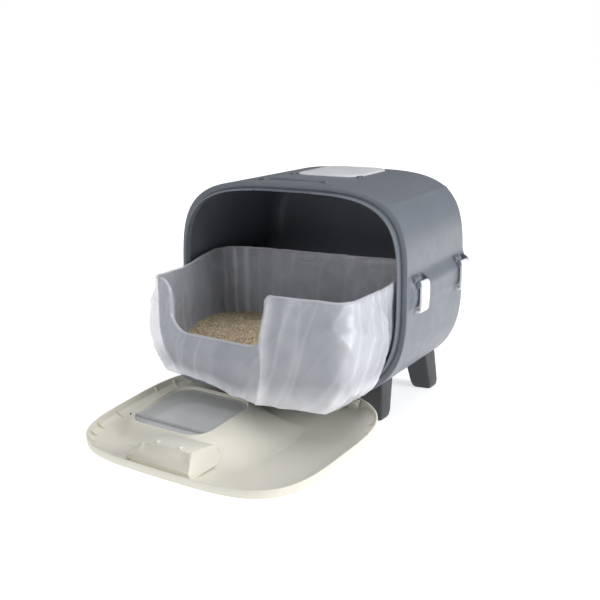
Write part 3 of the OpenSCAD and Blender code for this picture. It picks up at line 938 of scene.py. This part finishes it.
class LITTERBOX_OT_liner(bpy.types.Operator):
    """Draw the film liner: inside the tray, over its rim and down outside as a loose skirt"""
    bl_idname = "litterbox.add_liner"
    bl_label = "Add film liner"

    def execute(self, context):
        opts = settings()[1]
        plan, normal, at, total = tray_plan(2.5, entry_marks())
        n = len(plan)
        ones = np.ones(n)
        x, y = plan[:, 0], plan[:, 1]
        box_y = y + TRAY_Y - FRONT_Y                      # where each column stands in the box
        free = 1 - ease(box_y, -74, -20)                  # 1 where the skirt hangs outside the box
        lip = rim_height(x, y, opts.rim, opts.lip)
        top = lip + 1.2 + 19.0 * ease(y, 150, 320) * ease(top_gap(lip, opts), 0, 1)
        period = 26
        a = at / total * period                           # about 66 mm to one unit along the rim
        crumple = value_noise(a * 3, ones * 0.5, 7, period * 3) - 0.5
        top = top + 2.2 * crumple * ease(np.abs(lip - opts.rim), 8, 0)
        hem = 96 + 20 * ease(-x, -40, 150) * free + 6 * (value_noise(a * 2, ones * 1.5, 8, period * 2) - 0.4)
        hem = hem + 24 * (1 - free)
        s_step = at[np.argmin(np.abs(x - STEP_X) + (y > 30) * 1e3)]
        s_corner = at[np.argmin(np.abs(x - (TRAY_HALF - 10)) + np.abs(y - 10))]
        s_rear = at[np.argmin(np.abs(x + TRAY_HALF - 18) + np.abs(y - TRAY_D + 18))]

        def along(s0):
            d = at - s0
            return (d + total / 2) % total - total / 2

        def wrinkle(z, scale=1.0, inner=False):
            """Distance that the film stands off its smooth line at height z."""
            seed = 40 if inner else 20
            b = z / 66.0
            big = ridges(a, b * 0.45 + 3, seed, period) * 4.0
            tilt = ridges(a * 2 + b * 2, b * 0.8 + 9, seed + 1, period * 2) * 2.0
            back = ridges(a * 2 - b * 2, b * 0.9 + 31, seed + 2, period * 2) * 1.5
            small = ridges(a * 4 + b, b * 3 + 5, seed + 3, period * 4) ** 2 * 0.9
            return (big + tilt + back + small) * scale

        def skirt(z, f):
            """Stand-off of the outer skirt at height z, f from 0 at the rim to 1 at the hem."""
            hang = opts.bulge * ease(f, 0.0, 0.35) * free
            puff = 2.6 + hang + wrinkle(z, 0.25 + 0.75 * free)
            # the upright fold at the step, and small level creases beside it
            d = along(s_step)
            puff += 7.0 * free * np.exp(-(d / 7.0) ** 2) * ease(z, 300, 285)
            beside = np.exp(-((d + 34) / 16.0) ** 2)
            puff += beside * 1.6 * free * (ridges(z / 19.0 + 0 * a, a * 3, 55) - 0.3)
            # the corner's fold swings from side to side as it falls
            swing = 13 * np.sin((z - 100) / 37.0) + 5 * np.sin(z / 15.0)
            dc = along(s_corner) + swing
            puff += 8.0 * free * np.exp(-np.abs(dc) / 7.0)
            return puff

        profile, haze = [], []
        inner_rows, fold_rows, outer_rows = 30, 7, 44
        for f in np.linspace(0, 1, inner_rows):
            z = FILM_LOW + (top - 3 - FILM_LOW) * f
            # the bag stands off the rear corners, so the film crosses them
            slack = 5.0 + 0.9 * wrinkle(z, 0.8, True)
            profile.append((-slack * ease(f, 1.06, 0.9) - 3.6 * (1 - ease(f, 1.06, 0.9)), z, tray_w(z)))
            # painted highlight: bright fold lines down the inner rear corner, painted as extra opacity of the
            # white film
            painted_fold_highlight = sum(np.exp(-((along(s_rear) - d) / e) ** 2) for d, e in ((-22, 5.0), (6, 4.0), (34, 7.0)))
            haze.append(0.09 * ridges(a * 2, z / 190.0, 61, period * 2) ** 2 + 0.24 * painted_fold_highlight)
        for q in np.radians(np.linspace(0, 180, fold_rows + 2)[1:-1]):
            c, s = np.cos(q), np.sin(q)
            profile.append((-0.6 - 3.2 * c * ones, top - 2.5 + 3.2 * s, tray_w(top)))
            haze.append(0.22 * ones)
        for f in np.linspace(0, 1, outer_rows):
            z = top - 3 + (hem - top + 3) * f
            off = skirt(z, f)
            wide = 0.35 * free * ease(x, -140, 90)         # the left side falls in with the tray
            width = tray_w(z) * (1 - wide) + tray_w(np.minimum(opts.rim, z + 210)) * wide
            room = settings()[0].half_width - RIM_W - 2.2
            limit = side_at(room, settings()[0].bottom - RIM_W - 2, N_LOW, np.minimum(0, z - MID_Z)) - width
            off = np.where(free < 0.999, np.minimum(off, limit + 14 * free + 400 * (free > 0.9)), off)
            profile.append((off, z, width))
            fold = np.exp(-(along(s_step) / 8.0) ** 2) * 0.3
            # doubled film whitens the hem and the upright fold
            side = 0.13 * ease(x, TRAY_HALF - 24, TRAY_HALF - 4)
            haze.append(0.46 * ease(f, 0.70, 1.0) * free + fold * free + side + 0.04
                        + 0.11 * ridges(a * 2 + z / 160, z / 190.0, 62, period * 2) ** 2)
        rows = tray_rows(plan, normal, profile)
        faces = grid_faces(len(rows), n, closed=True)
        liner = new_piece("film_liner", on_floor(np.concatenate(rows)), faces, 180)
        layer = liner.data.attributes.new("haze", "FLOAT", "POINT")
        layer.data.foreach_set("value", np.concatenate(haze).astype(np.float32))
        finish_piece(liner, "tray", "liner_film", film(), "liner")
        return {"FINISHED"}


def top_gap(lip, opts):
    """1 along the full-height rim and 0 along the low entry."""
    return ease(lip, opts.rim - 12, opts.rim)


def litter_height(x, y):
    """Height of the litter above the floor over the tray's plan."""
    slope = 146 + 34 * ease(y, 40, 230)
    heap = 34 * np.exp(-(((x - 5) / 95.0) ** 2 + ((y - 190) / 95.0) ** 2))
    wide = 7 * (value_noise(x / 55.0 + 20, y / 55.0 + 20, 71) - 0.5)
    narrow = 3 * (value_noise(x / 19.0 + 40, y / 19.0 + 40, 72) - 0.5)
    return slope + heap + (wide + narrow)


class LITTERBOX_OT_litter(bpy.types.Operator):
    """Draw the heap of granules and scatter loose ones over it"""
    bl_idname = "litterbox.add_litter"
    bl_label = "Add litter"

    def execute(self, context):
        opts = settings()[1]
        plan, normal, _, _ = tray_plan(6.0)
        middle = np.array([0.0, 190.0])
        inner = plan - normal * 6.5
        rings = []
        for f in np.linspace(0.02, 1.0, 56):
            p = middle + (inner - middle) * f
            z = litter_height(p[:, 0], p[:, 1])
            rings.append(np.column_stack([p[:, 0] * tray_w(z) / TRAY_HALF, p[:, 1] + TRAY_Y, z]))
        low = rings[-1].copy()
        low[:, 0] = inner[:, 0] * tray_w(LITTER_LOW) / TRAY_HALF
        low[:, 2] = LITTER_LOW
        heap = loop_skin("litter_heap", rings + [low], on_floor, smooth=180)
        face_out(heap)
        heap.data.shade_smooth()
        grains = scatter(heap, opts)
        finish_piece(heap, "tray", "litter_grain", granules(), "litter")
        finish_piece(grains, "tray", "litter_grain", granules(), "litter")
        return {"FINISHED"}


def geometry_tree(name, *inputs):
    """A Geometry Nodes tree, the outputs of its source, and the keys of its inputs after the geometry. Each
    of these inputs is a label and a socket type."""
    tree = bpy.data.node_groups.new(name, "GeometryNodeTree")
    for way in ("INPUT", "OUTPUT"):
        tree.interface.new_socket("Geometry", in_out=way, socket_type="NodeSocketGeometry")
    sockets = [tree.interface.new_socket(label, in_out="INPUT", socket_type=kind) for label, kind in inputs]
    return tree, add(tree, "NodeGroupInput").outputs, [socket.identifier for socket in sockets]


def copies(tree, points, shape, turn, scale, material):
    """Ends a tree with a copy of the shape on each point, made real and in its material."""
    placed = add(tree, "GeometryNodeInstanceOnPoints", {"Points": points, "Instance": shape, "Rotation": turn,
                                                        "Scale": scale})
    real = add(tree, "GeometryNodeRealizeInstances", {0: placed.outputs[0]})
    done = add(tree, "GeometryNodeSetMaterial", {"Geometry": real.outputs[0], "Material": material})
    sink = add(tree, "NodeGroupOutput")
    tree.links.new(done.outputs[0], sink.inputs[0])


def run_tree(piece, tree, keys, values):
    """Applies a tree to the piece with values for its inputs."""
    m = piece.modifiers.new("copies", "NODES")
    m.node_group = tree
    for key, value in zip(keys, values):
        m[key] = value
    return bake(piece)


def scatter(surface, opts):
    """Geometry Nodes: low-faced granules scattered over the heap's upper face."""
    tree, source, keys = geometry_tree("scatter granules", ("Grains per square metre", "NodeSocketFloat"),
                                       ("Grain radius", "NodeSocketFloat"))
    up = add(tree, "ShaderNodeSeparateXYZ", {0: add(tree, "GeometryNodeInputNormal").outputs[0]}).outputs["Z"]
    facing = add(tree, "FunctionNodeCompare", {0: up, 1: 0.4}, data_type="FLOAT", operation="GREATER_THAN")
    spots = add(tree, "GeometryNodeDistributePointsOnFaces",
                {"Mesh": source[0], "Selection": facing.outputs[0], "Density": source[1], "Seed": 4})
    grain = add(tree, "GeometryNodeMeshIcoSphere", {"Radius": source[2], "Subdivisions": 1})
    turn = add(tree, "FunctionNodeRandomValue", {0: (0.0, 0.0, 0.0), 1: (6.28, 6.28, 6.28), "Seed": 5},
               data_type="FLOAT_VECTOR")
    grow = add(tree, "FunctionNodeRandomValue", {0: (0.5, 0.6, 0.6), 1: (1.5, 1.1, 1.2), "Seed": 6},
               data_type="FLOAT_VECTOR")
    copies(tree, spots.outputs["Points"], grain.outputs["Mesh"], turn.outputs[0], grow.outputs[0], granules())
    grains = bpy.data.objects.new("litter_granules", surface.data.copy())
    bpy.context.scene.collection.objects.link(grains)
    return run_tree(grains, tree, keys, (opts.grains, opts.grain))


# ---------------------------------------------------------------- front door
FLAP_U = (-206.0, -18.0)
FLAP_V = (-78.0, 100.0)
FLAP_W0 = 8.0             # height of the flap's lower face
LOCK_U = -50.0            # middle of the flap lock's guide
TUNNEL_TOP = 17.0         # height of the flap's frame above the door's rim plane
POCKET_U = -24.0          # middle of the latch pocket
POCKET_TAPER = 14.0       # how much narrower each side of the pocket is at its far end
HOOK_U, HOOK_V, HOOK_HALF = 150.0, 190.0, 11.0
RIB_FOOT = 0.984          # the ribs stand on the door's outline scaled by this


def rim_point(t, s, shell):
    """A point of the door's outline at an angle of t degrees, scaled by s."""
    q = np.radians(t)
    n, h = (N_LOW, shell.bottom) if t < 180 else (N_TOP, shell.top)
    return shell.half_width * s * power(np.cos(q), 2 / n), h * s * power(np.sin(q), 2 / n)


def door_ring(s, w, shell):
    """One ring of the door's outline, scaled by s, at height w."""
    return [(*rim_point(t, s, shell), w) for t in np.arange(0, 360, 3.0)]


def flap_outline(grow):
    """Outline of the flap, widened by grow on every side."""
    w, d = FLAP_U[1] - FLAP_U[0] + 2 * grow, FLAP_V[1] - FLAP_V[0] + 2 * grow
    return round_rect(w, d, 42 + grow, 14, ((FLAP_U[0] + FLAP_U[1]) / 2, (FLAP_V[0] + FLAP_V[1]) / 2))


class LITTERBOX_OT_door(bpy.types.Operator):
    """Draw the door's dished shell, its flap frame, latch pocket, hooks and ribs"""
    bl_idname = "litterbox.add_door"
    bl_label = "Add front door"

    def execute(self, context):
        shell, _, door, _ = settings()

        def dome(s):
            return -door.dome * (1 - s ** 2.4)

        upper = (0.02, 0.1, 0.2, 0.3, 0.4, 0.5, 0.6, 0.68, 0.76, 0.83, 0.89, 0.94, 0.97, 0.985)
        edge = [(0.993, dome(0.993) + 0.2), (0.998, 0.6), (1, 2.0), (1, door.skirt - 1),
                (0.998, door.skirt - 0.2), (0.996, door.skirt), (0.991, door.skirt),
                (0.989, door.skirt - 0.6), (0.988, door.skirt - 1.5), (0.986, 7.0), (0.983, 4.6),
                (0.975, 3.2)]
        lower = (0.955, 0.93, 0.88, 0.82, 0.75, 0.67, 0.59, 0.5, 0.4, 0.3, 0.2, 0.1, 0.02)
        section = [(s, dome(s)) for s in upper] + edge + [(s, dome(s) + 3) for s in lower]
        rings = [door_ring(s, w, shell) for s, w in section]
        dish = loop_skin("door_dish", rings, in_door, smooth=40)
        face_out(dish)
        cut(dish, prism("hole", flap_outline(4), -60, 60, in_door))
        cut(dish, block("recess", (LATCH_X - 45, -182, -60), (LATCH_X + 45, -108, 0), in_door))
        finish_piece(dish, "door", "door_plastic", door_plastic(), "front_door")

        self.flap_frame(shell, dome)
        self.pocket()
        self.hooks()
        self.ribs(shell)
        return {"FINISHED"}

    def flap_frame(self, shell, dome):
        """The frame round the flap: it flares into the dish, widest towards the door's middle."""
        centre = np.array([(FLAP_U[0] + FLAP_U[1]) / 2, (FLAP_V[0] + FLAP_V[1]) / 2])

        def flare(base, wide, w):
            out = []
            for u, v in flap_outline(base):
                side = np.clip((u - centre[0]) / 94.0, 0, 1) ** 2 * wide
                down = np.clip(-(v - centre[1]) / 89.0, 0, 1) ** 2 * wide * 0.25
                n, h = (N_LOW, shell.bottom) if v - down > 0 else (N_TOP, shell.top)
                s = min(1.0, ((abs(u + side) / shell.half_width) ** n + (abs(v - down) / h) ** n) ** (1 / n))
                out.append((u + side, v - down, w(s)))
            return out

        def ramp(s, g):
            return TUNNEL_TOP * (1 - g) + (dome(s) + 3.1) * g

        loops = []
        for base, w in ((1.2, -19.0), (1.2, TUNNEL_TOP - 0.8), (1.7, TUNNEL_TOP), (4.6, TUNNEL_TOP)):
            loops.append(flare(base, 0, lambda s, w=w: w))
        for f in np.linspace(0, 1, 12):
            g = float(ease(f, -0.06, 1.0))
            loops.append(flare(5.2 + 17 * f, 105 * f ** 1.15, lambda s, g=g: ramp(s, g)))
        loops.append(flare(22.4, 105, lambda s: dome(s) + 1.0))
        # a last band underneath joins the outer foot to the inner edge
        n = len(loops[0])
        last = (len(loops) - 1) * n
        faces = grid_faces(len(loops), n, closed=True)
        faces += [(last + i, last + (i + 1) % n, (i + 1) % n, i) for i in range(n)]
        collar = new_piece("door_flap_frame", in_door(np.concatenate(loops)), faces, 50)
        face_out(collar)
        soften(collar, 50)
        finish_piece(collar, "door", "door_plastic", door_plastic(), "flap_tunnel")

    def pocket(self):
        """The latch pocket: a steep front with two shallow round marks and small tabs on its edge."""
        side = [(-186, -4), (-186, 8), (-160, 35), (-150, 36.5), (-92, 19.5), (-86, 16), (-86, -13),
                (-120, -10)]
        hollow = [(-180, -12), (-180, 5), (-157, 30), (-150, 32), (-95, 16), (-90, 13), (-90, -16)]

        def wedge(name, profile, half, splay):
            points = []
            for e in (-1, 1):
                for v, w in profile:
                    taper = POCKET_TAPER * float(ease(v, -150, -90))
                    reach = half + splay * max(0.0, 36.0 - w) / 36.0 - taper
                    points.append((POCKET_U + e * reach, v, w))
            piece = new_piece(name, in_door(points), prism_faces(len(profile)))
            face_out(piece)
            return piece

        roof = wedge("door_latch_pocket", side, 58, 14)
        cut(roof, wedge("hollow", hollow, 54, 10))
        slope = np.arctan2(27.0, 26.0)
        along, up = np.cos(slope), np.sin(slope)
        turns = np.linspace(0, 2 * np.pi, 32, endpoint=False)
        for u in (-45, 45):
            rings = []
            for r, h in ((8.6, -1.6), (8.6, 6.0)):
                rings.append([(POCKET_U + u + r * np.cos(q), -167.4 + r * np.sin(q) * along - h * up,
                               27.3 + r * np.sin(q) * up + h * along) for q in turns])
            mark = loop_skin("mark", rings, in_door)
            face_out(mark)
            cut(roof, mark)
        cut(roof, block("opening", (LATCH_X - 45, -180, -60), (LATCH_X + 45, -113, 4.5), in_door))
        bevelled(roof, 0.7, 2, 40)
        tabs = []
        for u in (POCKET_U - 28, POCKET_U + 26):
            tabs.append(bevelled(block("tab", (u - 4, -159, 33), (u + 4, -150, 39.0), in_door), 0.8, 2))
        step = bevelled(block("step", (POCKET_U - 92, -178, -5), (POCKET_U - 66, -136, 10), in_door), 2.5, 3)
        roof = joined("door_latch_pocket", [roof, step] + tabs)
        finish_piece(roof, "door", "door_plastic", door_plastic(), "latch_housing")

    def hooks(self):
        """Two hooks inside the lower edge, which hold the door on the base's lip."""
        profile = [(0, -6), (12, -6), (12, 15), (8.4, 15), (8.0, 8.6), (4.2, 8.6), (3.6, 14), (0, 15)]
        parts = []
        for u in (-HOOK_U, HOOK_U):
            points = [(u + e * HOOK_HALF, HOOK_V + v, w) for e in (-1, 1) for v, w in profile]
            part = new_piece("hook", in_door(points), prism_faces(len(profile)))
            face_out(part)
            parts.append(bevelled(part, 0.8, 2))
        hooks = joined("door_top_hooks", parts)
        finish_piece(hooks, "door", "door_plastic", door_plastic(), "door_hooks")

    def ribs(self, shell):
        """Geometry Nodes: one wedge-shaped rib on each point of the skirt's foot."""
        spots, turned = [], []
        for t in (198, 210, 222, 233, 246, 262, 272, 283, 294, 303, 311, 319, 326, 333, 344, 356, 8, 20, 32,
                  148, 160, 172, 184):
            p, beyond = (np.array(rim_point(q, RIB_FOOT, shell)) for q in (t, t + 0.5))
            if abs(p[0] - LATCH_X) < 66 and p[1] < 0:
                continue                              # the latch pocket stands here
            d = (beyond - p) / np.linalg.norm(beyond - p)
            spots.append((p[0], p[1], 3.2))
            x_axis = Vector(-d[1] * DOOR_U + d[0] * DOOR_V)
            z_axis = Vector(DOOR_W)
            turned += list(Matrix((x_axis, z_axis.cross(x_axis), z_axis)).transposed().to_euler())
        holder = bpy.data.meshes.new("rib spots")
        holder.from_pydata([tuple(p) for p in in_door(spots)], [], [])
        holder.attributes.new("turn", "FLOAT_VECTOR", "POINT").data.foreach_set("vector", turned)
        ribs = bpy.data.objects.new("door_rim_ribs", holder)
        bpy.context.scene.collection.objects.link(ribs)

        outline = [(-1.5, -2.5), (17, -6.5), (17, -3.6), (8, 1.2), (2.5, 9.5), (-1.5, 12)]
        points = [(x * MM, y * MM, z * MM) for y in (-1.1, 1.1) for x, z in outline]
        wedge = new_piece("rib wedge", points, prism_faces(len(outline)))
        tree, source, keys = geometry_tree("ribs on a rim", ("Rib", "NodeSocketObject"),
                                           ("Rib scale", "NodeSocketFloat"))
        turn = add(tree, "GeometryNodeInputNamedAttribute", {"Name": "turn"}, data_type="FLOAT_VECTOR")
        rib = add(tree, "GeometryNodeObjectInfo", {"Object": source[1]})
        copies(tree, source[0], rib.outputs["Geometry"], turn.outputs[0], source[2], door_plastic())
        run_tree(ribs, tree, keys, (wedge, 1.0))
        bpy.data.objects.remove(wedge)
        face_out(ribs)
        finish_piece(ribs, "door", "door_plastic", door_plastic())


class LITTERBOX_OT_flap(bpy.types.Operator):
    """Draw the smoked flap, its lock and the lock's guide"""
    bl_idname = "litterbox.add_flap"
    bl_label = "Add flap"

    def execute(self, context):
        section = [(-12, 0.2), (-1.6, 0.0), (-0.8, 0.5), (-0.6, 1.4), (-0.8, 2.5), (-1.6, 3.0), (-7, 3.0),
                   (-8, 2.2), (-30, 1.9)]
        loops = [[(u, v, FLAP_W0 + w) for u, v in flap_outline(grow)] for grow, w in section]
        pane = loop_skin("flap_pane", loops, in_door)
        face_out(pane)
        finish_piece(pane, "flap", "flap_smoke", smoked_clear(), "flap")
        half = (FLAP_U[1] - FLAP_U[0]) / 2 - 0.9
        rings = []
        for u, r in ((-half, 3.4), (-half + 0.8, 4.2), (half - 0.8, 4.2), (half, 3.4)):
            rings.append([(FLAP_MID_U + u, HINGE_V + r * np.cos(a), HINGE_W + r * np.sin(a))
                          for a in np.linspace(0, 2 * np.pi, 24, endpoint=False)])
        bar = loop_skin("flap_hinge_bar", rings, in_door)
        face_out(bar)
        finish_piece(bar, "flap", "flap_smoke", smoked_clear())
        u0, v0 = LOCK_U, FLAP_V[1] + 5
        guide = block("flap_lock_guide_bed", (u0 - 42, v0 + 1.3, 8), (u0 + 42, v0 + 13.3, 24), in_door)
        bevelled(guide, 0.8, 2)
        cut(guide, block("channel", (u0 - 38, v0 + 4.3, 14), (u0 + 38, v0 + 10.3, 40), in_door))
        finish_piece(guide, "door", "pin_plastic", guide_plastic(), "flap_lock_guide")
        tongue = block("tongue", (u0 - 10, v0 + 4.8, 14.6), (u0 + 34, v0 + 9.8, 25.4), in_door)
        thumb = block("thumb", (u0 + 4, v0 + 3.6, 25.0), (u0 + 20, v0 + 10.8, 27.0), in_door)
        slider = joined("flap_lock_slider", [bevelled(part, 0.6, 2) for part in (tongue, thumb)])
        finish_piece(slider, "lock", "clip_white", clip_plastic(), "flap_lock")
        return {"FINISHED"}


class LITTERBOX_OT_cad(bpy.types.Operator):
    """Give the CAD nodes that stay their own finishes"""
    bl_idname = "litterbox.finish_cad"
    bl_label = "Finish CAD nodes"

    def execute(self, context):
        looks = {"leg_screws": steel, "clip_pins": steel, "latch_spring": steel, "foot_pads": rubber,
                 "tray_rails": tray_plastic, "filter_grille": shell_plastic, "filter_pad": foam,
                 "flap_hinge_pins": pin_plastic, "door_latch": door_plastic}
        for name, look in looks.items():
            mesh = frame["nodes"][name].data
            mesh.materials.clear()
            mesh.materials.append(look())
        return {"FINISHED"}


# ---------------------------------------------------------------- stage
CAMERA_PLACE = (1.1696, -2.1492, 0.7817)
CAMERA_LOOK = (-0.4533, 0.8664, -0.2097)
CAMERA_LENS = 74.0
FLOOR_REACH = 12.0


class LITTERBOX_OT_stage(bpy.types.Operator):
    """Set up the floor, the lights and the camera"""
    bl_idname = "litterbox.add_stage"
    bl_label = "Add stage"

    def execute(self, context):
        corners = [(FLOOR_REACH * sx, FLOOR_REACH * sy, 0) for sx, sy in ((-1, -1), (1, -1), (1, 1), (-1, 1))]
        floor = new_piece("floor", corners, [(0, 1, 2, 3)])
        paint = bpy.data.materials.new("white paper sweep")
        paint.use_nodes = True
        shader = paint.node_tree.nodes["Principled BSDF"]
        shader.inputs["Base Color"].default_value = (0.75, 0.75, 0.75, 1)
        shader.inputs["Roughness"].default_value = 0.9
        shader.inputs["Specular IOR Level"].default_value = 0.0
        shader.inputs["Emission Color"].default_value = (1, 1, 1, 1)
        sweep = paint.node_tree
        where = add(sweep, "ShaderNodeTexCoord").outputs["Object"]
        far = add(sweep, "ShaderNodeVectorMath", {0: where}, operation="LENGTH").outputs["Value"]
        # the paper burns out to white away from the box, and keeps its soft shadows near it
        sweep.links.new(span(sweep, far, 0.62, 1.0, 0.9, 2.6), shader.inputs["Emission Strength"])
        floor.data.materials.append(paint)
        scene = context.scene
        world = bpy.data.worlds.new("studio")
        world.use_nodes = True
        tree = world.node_tree
        tree.nodes.clear()
        seen = add(tree, "ShaderNodeLightPath").outputs["Is Camera Ray"]
        soft = add(tree, "ShaderNodeBackground", {"Color": (0.95, 0.97, 1.0, 1), "Strength": 0.24}).outputs[0]
        white = add(tree, "ShaderNodeBackground", {"Color": (1, 1, 1, 1), "Strength": 1.0}).outputs[0]
        mix = add(tree, "ShaderNodeMixShader", {0: seen, 1: soft, 2: white})
        out = add(tree, "ShaderNodeOutputWorld")
        tree.links.new(mix.outputs[0], out.inputs[0])
        scene.world = world
        scene.view_settings.view_transform = "Standard"

        def lamp(name, place, aim, size, watts):
            light = bpy.data.lights.new(name, "AREA")
            light.shape, light.size, light.size_y = "RECTANGLE", size[0], size[1]
            light.energy = watts
            ob = bpy.data.objects.new(name, light)
            scene.collection.objects.link(ob)
            ob.location = place
            ob.rotation_euler = (Vector(aim) - Vector(place)).to_track_quat("-Z", "Y").to_euler()

        lamp("overhead softbox", (0.2, 0.2, 3.2), (0, 0, 0), (2.6, 2.6), 44)
        lamp("right softbox", (3.0, 0.1, 1.2), (0, 0.1, 0.25), (1.7, 1.2), 62)
        lamp("front fill", (-0.6, -3.2, 1.7), (0, 0, 0.2), (2.0, 1.4), 22)
        camera = bpy.data.cameras.new("camera")
        camera.lens, camera.sensor_width = CAMERA_LENS, 36.0
        ob = bpy.data.objects.new("camera", camera)
        scene.collection.objects.link(ob)
        ob.location = CAMERA_PLACE
        ob.rotation_euler = Vector(CAMERA_LOOK).to_track_quat("-Z", "Y").to_euler()
        scene.camera = ob
        return {"FINISHED"}


class LITTERBOX_PT_panel(bpy.types.Panel):
    """Sizes, colours and pieces of the litter box"""
    bl_idname = "LITTERBOX_PT_panel"
    bl_label = "Litter Box"
    bl_space_type = "VIEW_3D"
    bl_region_type = "UI"
    bl_category = "Litter Box"

    def draw(self, context):
        layout = self.layout
        for group in settings():
            box = layout.box()
            for name in group.bl_rna.properties.keys():
                if name not in ("rna_type", "name"):
                    box.prop(group, name)
        for name in STEPS:
            layout.operator("litterbox." + name)


STEPS = ("add_hood", "add_base", "add_legs", "add_clips", "add_filter", "add_tray", "add_liner", "add_litter",
         "add_door", "add_flap", "finish_cad", "add_stage")
CLASSES = (ShellSettings, TraySettings, DoorSettings, ColourSettings, LITTERBOX_OT_hood, LITTERBOX_OT_base,
           LITTERBOX_OT_legs, LITTERBOX_OT_clips, LITTERBOX_OT_filter, LITTERBOX_OT_tray, LITTERBOX_OT_liner,
           LITTERBOX_OT_litter, LITTERBOX_OT_door, LITTERBOX_OT_flap, LITTERBOX_OT_cad, LITTERBOX_OT_stage,
           LITTERBOX_PT_panel)
GROUPS = (("litter_shell", ShellSettings), ("litter_tray", TraySettings), ("litter_door", DoorSettings),
          ("litter_colour", ColourSettings))


def register():
    for c in CLASSES:
        bpy.utils.register_class(c)
    for name, group in GROUPS:
        setattr(bpy.types.Scene, name, bpy.props.PointerProperty(type=group))


def unregister():
    for name, _ in GROUPS:
        delattr(bpy.types.Scene, name)
    for c in reversed(CLASSES):
        bpy.utils.unregister_class(c)


def main():
    register()
    for name in STEPS:
        getattr(bpy.ops.litterbox, name)()


if __name__ == "__main__":
    main()
